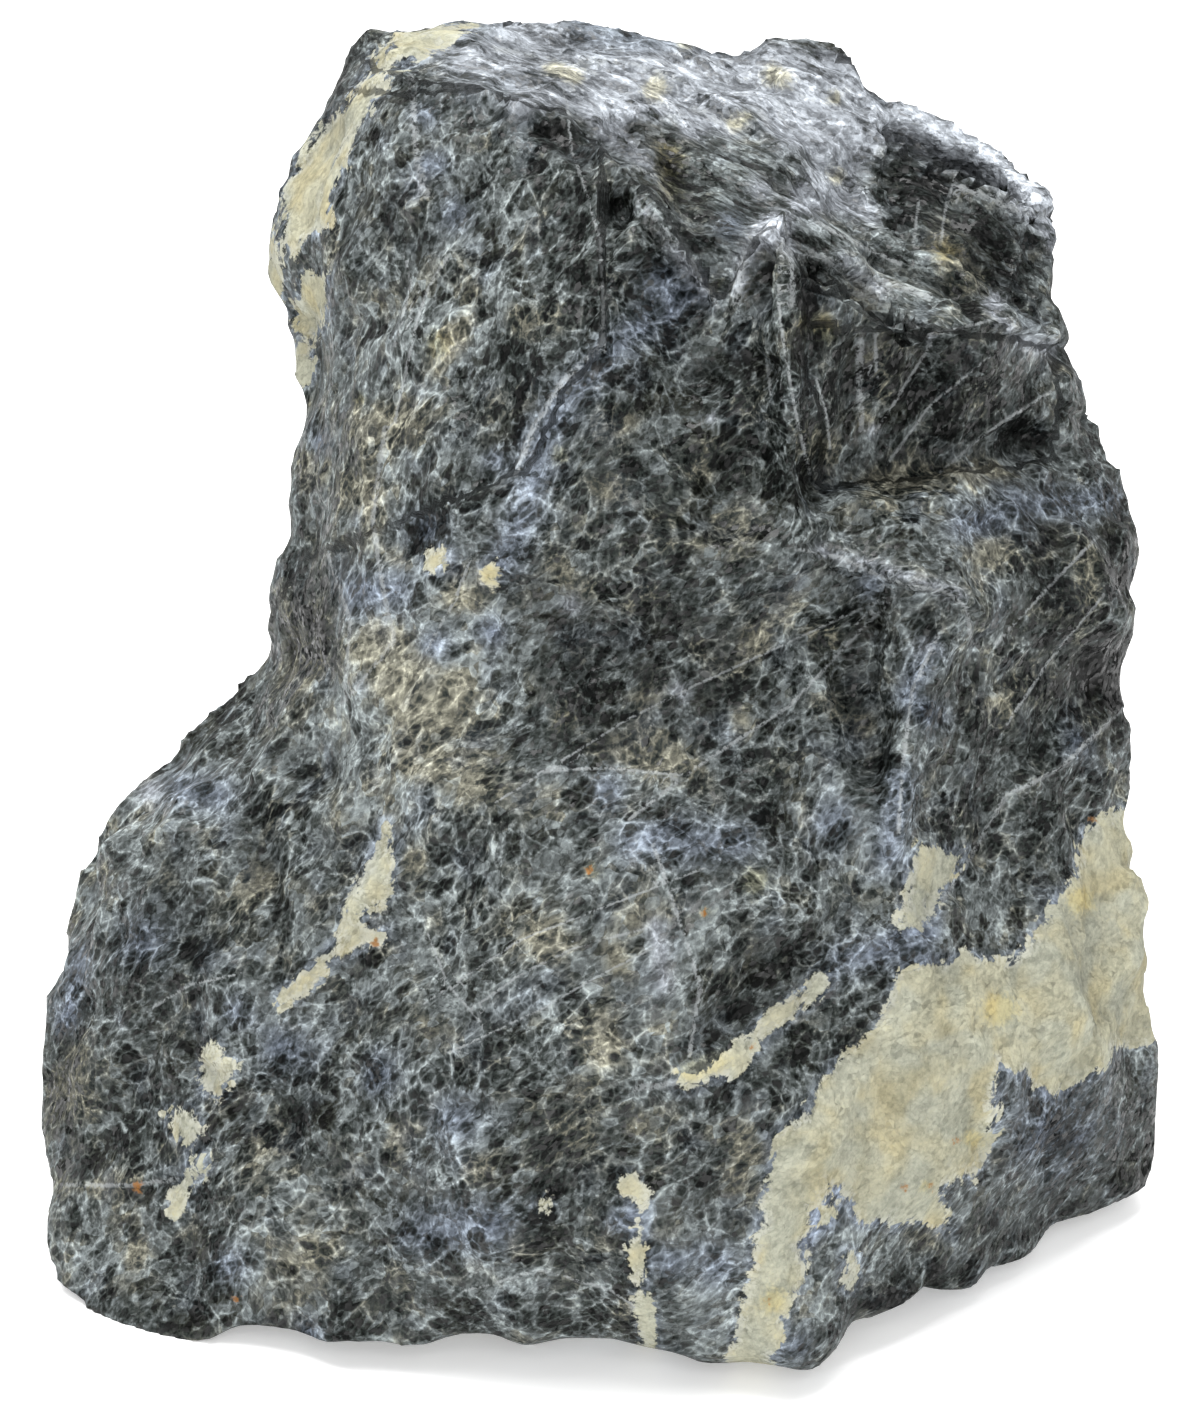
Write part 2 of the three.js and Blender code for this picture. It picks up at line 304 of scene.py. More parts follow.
raised = np.zeros(len(places))
for path, half_width, height in RIDGES:
    nearest = beside_path(front_points, path)[0]
    raised += height * np.clip(1 - nearest / half_width, 0, 1) ** RIDGE_SHARPNESS
for path, half_width, depth in FURROWS:
    nearest = beside_path(front_points, path)[0]
    raised -= depth * np.exp(-((nearest / half_width) ** 2))
for path, lip, back, recess, reach in LEDGES:
    nearest, across, past = beside_path(front_points, path)
    above = lip * np.clip(1 - nearest / back, 0, 1)
    below = recess * np.clip(1 - nearest / reach, 0, 1)
    lower = smooth_rise(across, -EDGE_BLUR / 2, EDGE_BLUR / 2)
    raised += (above * (1 - lower) - below * lower) * np.clip(1 - past / PAST_END, 0, 1)
raised *= facing
places += normals * (raised * MM)[:, None]
stone.data.vertices.foreach_set("co", places.astype(np.float32).ravel())


def inside_outline(points, outline):
    """How far points lie inside (+) or outside (-) a closed outline."""
    sides = list(zip(outline, outline[1:] + outline[:1]))
    distance = np.min([beside_path(points, side)[0] for side in sides], axis=0)
    inside = np.zeros(len(points), bool)
    for (x0, y0), (x1, y1) in sides:
        between = (y0 > points[:, 1]) != (y1 > points[:, 1])
        crossing = x0 + (points[:, 1] - y0) * (x1 - x0) / (y1 - y0 or 1)
        inside ^= between & (points[:, 0] < crossing)
    return np.where(inside, distance, -distance)


def store(name, values):
    """Keeps a number for each vertex on the mesh."""
    layer = stone.data.attributes.new(name, "FLOAT", "POINT")
    layer.data.foreach_set("value", values.astype(np.float32))


def region(blur, *outlines):
    """1 inside the outlines, 0 outside them and behind the front, and smooth between."""
    inside = np.max([inside_outline(front_points, outline) for outline in outlines], axis=0)
    return smooth_rise(inside, -blur, blur) * facing


layered_behind = smooth_rise(normals[:, 2], *LYING_FLAT) * (1 - facing)
store("layered", np.maximum(region(REGION_BLUR, LAYERED_REGION), layered_behind))
store("steep", region(REGION_BLUR, STEEP_REGION, OVERHANG_REGION))
store("calm", region(CALM_BLUR, CALM_REGION))
store("raised", raised)


class Wire:
    """A socket of a node tree. Arithmetic on it adds Math nodes."""

    def __init__(self, tree, socket=None):
        self.tree = tree
        self.socket = socket

    def node(self, kind, settings, inputs, output=0):
        """Adds a node, sets it up, joins its inputs and gives one of its outputs."""
        made = self.tree.nodes.new(kind)
        for name, value in settings.items():
            setattr(made, name, value)
        for name, value in inputs.items():
            if isinstance(value, Wire):
                self.tree.links.new(value.socket, made.inputs[name])
            else:
                made.inputs[name].default_value = value
        return Wire(self.tree, made.outputs[output] if made.outputs else None)

    def other(self, output):
        """Another output of the same node."""
        return Wire(self.tree, self.socket.node.outputs[output])

    def math(self, operation, *values):
        """A Math node on these values, of which this need not be one."""
        return self.node("ShaderNodeMath", {"operation": operation}, dict(enumerate(values)))

    def vector(self, operation, *values, output=0):
        """A Vector Math node on this and these values."""
        inputs = dict(enumerate((self, *values)))
        return self.node("ShaderNodeVectorMath", {"operation": operation}, inputs, output)

    def __add__(self, other):
        return self.math("ADD", self, other)

    def __radd__(self, other):
        return self.math("ADD", other, self)

    def __sub__(self, other):
        return self.math("SUBTRACT", self, other)

    def __rsub__(self, other):
        return self.math("SUBTRACT", other, self)

    def __mul__(self, other):
        return self.math("MULTIPLY", self, other)

    def __rmul__(self, other):
        return self.math("MULTIPLY", other, self)

    def __truediv__(self, other):
        return self.math("DIVIDE", self, other)

    def __rtruediv__(self, other):
        return self.math("DIVIDE", other, self)

    def __abs__(self):
        return self.math("ABSOLUTE", self)

    def at_least(self, other):
        return self.math("MAXIMUM", self, other)

    def at_most(self, other):
        return self.math("MINIMUM", self, other)

    def rise(self, low, high):
        """0 up to low, 1 from high on, and smooth between."""
        return self.node(
            "ShaderNodeMapRange", {"interpolation_type": "SMOOTHSTEP"},
            {"Value": self, "From Min": low, "From Max": high, "To Min": 0.0, "To Max": 1.0},
        )

    def scaled(self, factor):
        """This vector or colour, times a number."""
        return self.node("ShaderNodeVectorMath", {"operation": "SCALE"}, {0: self, "Scale": factor})

    def noise(self, reach, detail=0.0, roughness=0.5, output=0):
        """Cloudy noise from 0 to 1 at this place, its clouds about reach millimetres across."""
        return self.node(
            "ShaderNodeTexNoise", {},
            {"Vector": self, "Scale": 1 / reach, "Detail": detail, "Roughness": roughness}, output,
        )

    def bent(self, reach, amount):
        """This place, pushed about by up to amount, with a new push every reach millimetres."""
        push = self.noise(reach, output="Color").vector("SUBTRACT", (0.5, 0.5, 0.5))
        return self.vector("ADD", push.scaled(2 * amount))

    def along_axes(self, axes):
        """This place, measured along three axes."""
        shares = [self.vector("DOT_PRODUCT", tuple(axis), output="Value") for axis in axes]
        return self.node("ShaderNodeCombineXYZ", {}, dict(enumerate(shares)))

    def along_grain(self, layered, steep, layer_axes):
        """This place along the rock's own directions: layered or not, and steep or slanting grain."""
        slanting = steep.math("GREATER_THAN", steep, 0.5).mix(
            self.along_axes(SLANT_AXES), self.along_axes(STEEP_AXES)
        )
        return layered.math("GREATER_THAN", layered, 0.5).mix(slanting, self.along_axes(layer_axes))

    def cells(self, reach):
        """A random colour for each cell, of cells about reach millimetres across."""
        return self.node("ShaderNodeTexVoronoi", {}, {"Vector": self, "Scale": 1 / reach}, "Color")

    def chips(self, cells):
        """The height of cells that each lie at their own random tilt."""
        from_middle = self.vector("SUBTRACT", cells.other("Position"))
        tilt = cells.vector("SUBTRACT", (0.5, 0.5, 0.5))
        return from_middle.vector("DOT_PRODUCT", tilt, output="Value")

    def edges(self, reach):
        """The distance in millimetres to the nearest edge between cells."""
        inputs = {"Vector": self, "Scale": 1 / reach}
        made = self.node("ShaderNodeTexVoronoi", {"feature": "DISTANCE_TO_EDGE"}, inputs, "Distance")
        return made * reach

    def threads(self, reach, detail, spread):
        """0 on the thin winding lines where a noise crosses its middle, rising by spread beside them."""
        return abs(self.noise(reach, detail) - 0.5) * spread

    def mix(self, first, second):
        """first where this is 0, second where it is 1."""
        made = self.tree.nodes.new("ShaderNodeMix")
        made.data_type = "RGBA"
        for socket, value in ((made.inputs[0], self), (made.inputs[6], first), (made.inputs[7], second)):
            if isinstance(value, Wire):
                self.tree.links.new(value.socket, socket)
            else:
                socket.default_value = value
        return Wire(self.tree, made.outputs[2])


def grain_axes(degrees, stretch):
    """Three axes for a pattern that is drawn out along the grain, at an angle on the front face."""
    angle = math.radians(degrees)
    run = Vector((math.cos(angle), 0, 0)) + math.sin(angle) * up_the_face
    return [run * stretch, run.cross(to_camera), to_camera * GRAIN_DEPTH]


# The rock's own directions. On the front its grain runs up to the right, steeply in the upper left and
# under the right ledge. Near the top the rock is layered, and its thin layers run down to the right. The
# smaller its measure along a direction, the longer a pattern is drawn out that way.
GRAIN_DEPTH = 0.85
SLANT_AXES = grain_axes(40, 0.68)
STEEP_AXES = grain_axes(74, 0.72)
THREAD_AXES = grain_axes(-40, 0.45)
layer_run = Vector((0.84, -0.48, -0.26)).normalized()
layer_side = Vector((0.35, 0.25, 0.9)).cross(layer_run).normalized()
LAYER_AXES = [layer_run * 0.42, layer_side, layer_run.cross(layer_side) * 1.3]
FINE_LAYER_AXES = [LAYER_AXES[0] * 1.6, *LAYER_AXES[1:]]
PLATE_AXES = [LAYER_AXES[0] * 0.8, *LAYER_AXES[1:]]

# The fracture relief: lumps, and chips that each lie at their own tilt, drawn out along the grain. It
# fades where the stone stands, and on the smooth flank at the lower right, and is rougher where the rock
# is layered. Its patterns sway: each pair is over how many millimetres they wander, and by how many.
SWAYS = ((12, 1.4), (2.4, 0.25))
CALM_SHARE = 0.7  # how much of the relief the flank loses
PLAIN_RELIEF, LAYERED_RELIEF = 0.8, 0.5  # the relief's share, and how much layers add
RELIEF_SIZES = {
    "lump reach": 13.0, "lump height": 2.0, "knob reach": 4.5, "knob height": 1.3,
    "chip reach": 6.0, "chip slope": 0.36, "flake reach": 2.6, "flake slope": 0.3,
    "calm below": 7.0, "full above": 24.0,
}
finish = bpy.data.materials.new("veined sodalite")
relief_tree = bpy.data.node_groups.new("fracture relief", "GeometryNodeTree")
relief_tree.interface.new_socket("Geometry", in_out="INPUT", socket_type="NodeSocketGeometry")
relief_tree.interface.new_socket("Geometry", in_out="OUTPUT", socket_type="NodeSocketGeometry")
for name in RELIEF_SIZES:
    relief_tree.interface.new_socket(name, in_out="INPUT", socket_type="NodeSocketFloat")
relief = Wire(relief_tree)
size = relief.node("NodeGroupInput", {}, {}, "Geometry")


def named(field_name):
    """A number kept on the mesh, in the relief's tree."""
    return relief.node("GeometryNodeInputNamedAttribute", {"data_type": "FLOAT"}, {"Name": field_name})


place = relief.node("GeometryNodeInputPosition", {}, {}).scaled(1 / MM)
swayed = place.bent(*SWAYS[0]).bent(*SWAYS[1])
drawn_out = swayed.along_grain(named("layered"), named("steep"), LAYER_AXES)


def relief_noise(reach, detail):
    """Lumps whose reach is one of the relief's sizes, up and down from 0."""
    inputs = {"Vector": drawn_out, "Scale": 1 / size.other(reach), "Detail": detail}
    return relief.node("ShaderNodeTexNoise", {}, inputs) - 0.5


def relief_chips(reach):
    """Tilted chips whose reach is one of the relief's sizes."""
    inputs = {"Vector": drawn_out, "Scale": 1 / size.other(reach)}
    return drawn_out.chips(relief.node("ShaderNodeTexVoronoi", {}, inputs, "Color"))


height = relief_noise("lump reach", 2.0) * size.other("lump height")
height = height + relief_noise("knob reach", 3.0) * size.other("knob height")
height = height + relief_chips("chip reach") * size.other("chip slope")
height = height + relief_chips("flake reach") * size.other("flake slope")
above_floor = place.vector("DOT_PRODUCT", (0, 0, 1), output="Value")
freedom = above_floor.rise(size.other("calm below"), size.other("full above"))
height = height * freedom * (1 - named("calm") * CALM_SHARE)
height = height * (PLAIN_RELIEF + named("layered") * LAYERED_RELIEF)
height = relief.node("GeometryNodeBlurAttribute", {}, {"Value": height, "Iterations": 1})
normal = relief.node("GeometryNodeInputNormal", {}, {})
shaped = relief.node(
    "GeometryNodeSetPosition", {}, {"Geometry": size, "Offset": normal.scaled(height * MM)},
)
# What the finish needs at each vertex: the relief's height, places, and clouds of several sizes, each
# with its reach in millimetres and its detail.
FIELDS = {
    "raised": ("FLOAT", named("raised") + height),
    "swayed": ("FLOAT_VECTOR", swayed),
    "grain_place": (
        "FLOAT_VECTOR", swayed.along_grain(named("layered"), named("steep"), FINE_LAYER_AXES),
    ),
    "patches": ("FLOAT", place.noise(12, 3.0)),
    "clouds": ("FLOAT", place.noise(4, 2.0)),
    "tints": ("FLOAT_VECTOR", place.scaled(-1).noise(5, 2.0, output="Color")),
    "regions": ("FLOAT_VECTOR", place.noise(24, 2.0, output="Color")),
}
noted = shaped
for name, (kind, value) in FIELDS.items():
    inputs = {"Geometry": noted, "Name": name, "Value": value}
    noted = relief.node("GeometryNodeStoreNamedAttribute", {"data_type": kind, "domain": "POINT"}, inputs)
realized = relief.node("GeometryNodeRealizeInstances", {}, {"Geometry": noted})
coloured = relief.node("GeometryNodeSetMaterial", {}, {"Geometry": realized, "Material": finish})
relief.node("NodeGroupOutput", {}, {"Geometry": coloured})
fracture = stone.modifiers.new("fracture relief", "NODES")
fracture.node_group = relief_tree
for item in relief_tree.interface.items_tree:
    if item.name in RELIEF_SIZES:
        fracture[item.identifier] = RELIEF_SIZES[item.name]
bake_modifiers(stone)

places = vertex_rows(stone, "co")
places = np.clip(places, np.array(cad_low), np.array(cad_high))
stone.data.vertices.foreach_set("co", places.astype(np.float32).ravel())
stone.data.polygons.foreach_set("use_smooth", np.ones(len(stone.data.polygons), bool))

# ---- The stone's marks ----
# Feldspar patches and veins, iron spots and tinted zones lie in the rock itself, though the black, dark and
# pale zones also carry painted shade and painted light. Those of the front are outlined in the front view's
# points and kept on the mesh, as millimetres inside (+) each edge.

MM_PER_POINT = SENSOR_MM / LENS_MM * (CAMERA_DISTANCE / MM) / VIEW_HEIGHT
MARKS_TURN = (-0.25, 0.05)  # cosines of the angle to the camera between which the front ends
SHEET_TAPER = 0.12  # how fast a patch narrows as it goes back through the stone
TAPER_FROM = 10  # millimetres behind the face's middle where that starts
FAR_OUTSIDE = -20  # what is kept behind the front, where there are no rust spots

CREAM_OUTLINES = {
    "corner patch": [
        (770, 1137), (803, 1118), (837, 1061), (876, 1040), (897, 990), (906, 971), (956, 958),
        (1006, 963), (1040, 930), (1075, 880), (1085, 830), (1120, 812), (1160, 830), (1175, 950),
        (1165, 1036), (1120, 1042), (1100, 1070), (1050, 1092), (1032, 1078), (998, 1064),
        (993, 1112), (983, 1145), (975, 1180), (956, 1168), (939, 1195), (948, 1233), (918, 1214),
        (891, 1222), (864, 1218), (849, 1195), (832, 1183), (814, 1210), (803, 1241), (799, 1283),
        (788, 1298), (780, 1325), (768, 1380), (728, 1380), (742, 1325), (753, 1291), (757, 1241),
        (768, 1195), (774, 1164),
    ],
    "top left band": [
        (400, 36), (444, 24), (470, 28), (427, 54), (386, 68), (381, 88), (369, 109), (352, 122),
        (342, 160), (327, 194), (323, 224), (301, 238), (291, 248), (284, 221), (287, 183),
        (301, 160), (318, 136), (335, 115), (355, 98), (374, 61), (392, 50),
    ],
    "left edge strip": [
        (262, 242), (280, 240), (277, 262), (276, 290), (285, 317), (276, 312), (262, 280),
    ],
    "tan crumb": [(485, 569), (494, 567), (496, 576), (489, 581)],
    "left edge spot": [(305, 276), (325, 280), (324, 321), (309, 339), (294, 331), (303, 306)],
    "upper seam patch": [
        (385, 822), (392, 844), (390, 885), (373, 913), (350, 919), (352, 900), (370, 873), (379, 844),
    ],
    "middle seam patch": [
        (356, 923), (383, 934), (360, 950), (329, 961), (318, 978), (300, 995), (281, 1001),
        (280, 993), (300, 979), (331, 949),
    ],
    "lower seam patch": [
        (205, 1048), (218, 1046), (214, 1066), (232, 1064), (226, 1080), (227, 1092), (218, 1100),
        (206, 1092), (204, 1080),
    ],
    "foot patch": [(168, 1109), (191, 1111), (199, 1126), (188, 1145), (172, 1134)],
    "foot streak": [(199, 1157), (206, 1166), (188, 1183), (182, 1205), (175, 1209), (179, 1192)],
    "rib patch": [
        (921, 854), (964, 852), (956, 873), (937, 888), (933, 930), (902, 927), (906, 881),
    ],
    "corner crumb": [(818, 1210), (834, 1212), (830, 1224), (818, 1222)],
    "corner splinter": [(846, 1252), (856, 1256), (853, 1290), (845, 1286)],
    "pale crumb": [(430, 556), (444, 552), (450, 566), (440, 572), (430, 568)],
    "white crumb": [(538, 1200), (548, 1200), (549, 1212), (539, 1214)],
    "left rim": [(295, 333), (308, 340), (308, 379), (296, 379)],
}
# Cream veins: a path and half the vein's width, in points.
CREAM_VEINS = {
    "slanting vein": ([(686, 1084), (730, 1068), (766, 1028), (812, 993), (822, 980)], 6),
    "upright vein": ([(627, 1180), (642, 1199), (638, 1264), (650, 1348)], 4.6),
}
# Rust spots: where each lies and its radius, in points.
RUST_SPOTS = [
    (138, 1187, 5), (235, 1298, 4), (375, 943, 4), (590, 870, 4), (705, 912, 3), (753, 1046, 3),
    (904, 1187, 4), (931, 1187, 3), (768, 1302, 3), (1092, 820, 3), (956, 1141, 3),
]
# Thin pale veins: a path in the front view's points and half the vein's width in points.
PALE_VEINS = {
    "nose ridge": ([(784, 230), (780, 260), (778, 300), (783, 340), (789, 375), (797, 420), (808, 468)], 2),
    "brow line": ([(642, 205), (668, 233), (692, 262), (715, 302)], 3),
    "lavender edge": ([(600, 345), (560, 383), (532, 430), (517, 470)], 4),
    "long slant": ([(634, 816), (700, 765), (791, 705), (845, 647), (891, 601)], 2.2),
    "short slant": ([(500, 800), (627, 720), (690, 688), (753, 659), (880, 600)], 1.5),
    "right slant": ([(940, 905), (975, 850), (1006, 796), (1059, 770), (1120, 712)], 2.6),
    "lower lip": (
        [(800, 550), (845, 559), (883, 578), (910, 588), (944, 590), (967, 609), (971, 640)], 2.6,
    ),
    "upper face line": (
        [(562, 75), (568, 110), (571, 150), (582, 180), (600, 240), (603, 300), (604, 345)], 2,
    ),
    "left line": ([(406, 262), (411, 285), (404, 310), (396, 340)], 2),
    "second left line": ([(444, 262), (426, 292), (416, 325), (395, 420)], 2),
    "left streak": ([(411, 82), (413, 115), (417, 160), (425, 192)], 4),
    "belly slant": ([(430, 1000), (520, 940), (610, 905), (700, 870)], 1.4),
    "middle line": ([(540, 772), (600, 768), (690, 776)], 1.8),
    "rib line": ([(935, 640), (912, 690), (903, 760), (898, 830)], 2.4),
    "belly slant above": ([(470, 1010), (520, 975), (575, 948), (640, 930)], 1.6),
    "belly slant below": ([(455, 1050), (540, 1010), (600, 975), (650, 950)], 1.4),
    "white web": ([(655, 850), (672, 900), (700, 985), (690, 1050)], 2.6),
    "vein tail": ([(640, 1088), (665, 1085), (690, 1078)], 4),
    "left haze line": ([(385, 430), (372, 520), (385, 600), (395, 640), (345, 700)], 3),
    "foot slant": ([(150, 1010), (190, 985), (235, 975)], 1.6),
    "left shoulder line": ([(330, 560), (350, 620), (345, 690)], 2.2),
    "fork": ([(430, 645), (455, 600), (470, 560)], 2),
    "belly crack": ([(430, 940), (448, 985), (478, 1020)], 1.4),
    "right web": ([(1000, 640), (1060, 575), (1095, 540)], 2.0),
    "right web low": ([(1010, 720), (1050, 660), (1100, 600)], 1.8),
    "foot line": ([(70, 1185), (130, 1186), (200, 1176)], 2.6),
    "lower arc": ([(470, 1290), (540, 1270), (610, 1290), (640, 1310)], 1.6),
    "overhang slant": ([(930, 345), (905, 385), (880, 425)], 1.8),
    "overhang web": ([(985, 360), (930, 405), (890, 460)], 1.6),
    "overhang low web": ([(1045, 395), (990, 430), (945, 468)], 1.8),
    "overhang tick": ([(875, 340), (876, 372)], 2.6),
    "overhang pale band": ([(860, 345), (858, 385), (862, 425)], 4),
    "overhang left thread": ([(818, 385), (826, 412), (829, 442)], 1.8),
    "step streak": ([(812, 253), (838, 265)], 5),
    "slope streak": ([(847, 290), (872, 300), (892, 313)], 3.5),
    "slope patch": ([(862, 278), (895, 286), (925, 296)], 4.5),
    "slope low streak": ([(903, 320), (926, 333)], 3.5),
    "slope thread": ([(935, 334), (962, 328), (992, 320)], 1.8),
    "slope upper streak": ([(822, 225), (860, 246), (895, 262)], 2.5),
    "rim ledge": ([(962, 188), (990, 198), (1015, 211), (1040, 215)], 4),
    "hollow web": ([(955, 178), (946, 205), (941, 240)], 2),
    "hollow web left": ([(918, 205), (914, 240)], 1.8),
    "nose left leg": ([(737, 300), (740, 272), (748, 248), (762, 232)], 5),
    "nose outer": ([(786, 232), (792, 262), (792, 300)], 3.5),
    "terrace streak": ([(696, 110), (720, 122), (745, 128)], 5),
    "terrace upper streak": ([(590, 60), (640, 66), (680, 80)], 3),
    "pit rim": ([(638, 168), (655, 178), (668, 195)], 3),
    "brow top line": ([(500, 50), (545, 58), (590, 72), (625, 92)], 3),
    "dark face tick": ([(768, 372), (770, 388)], 2),
}
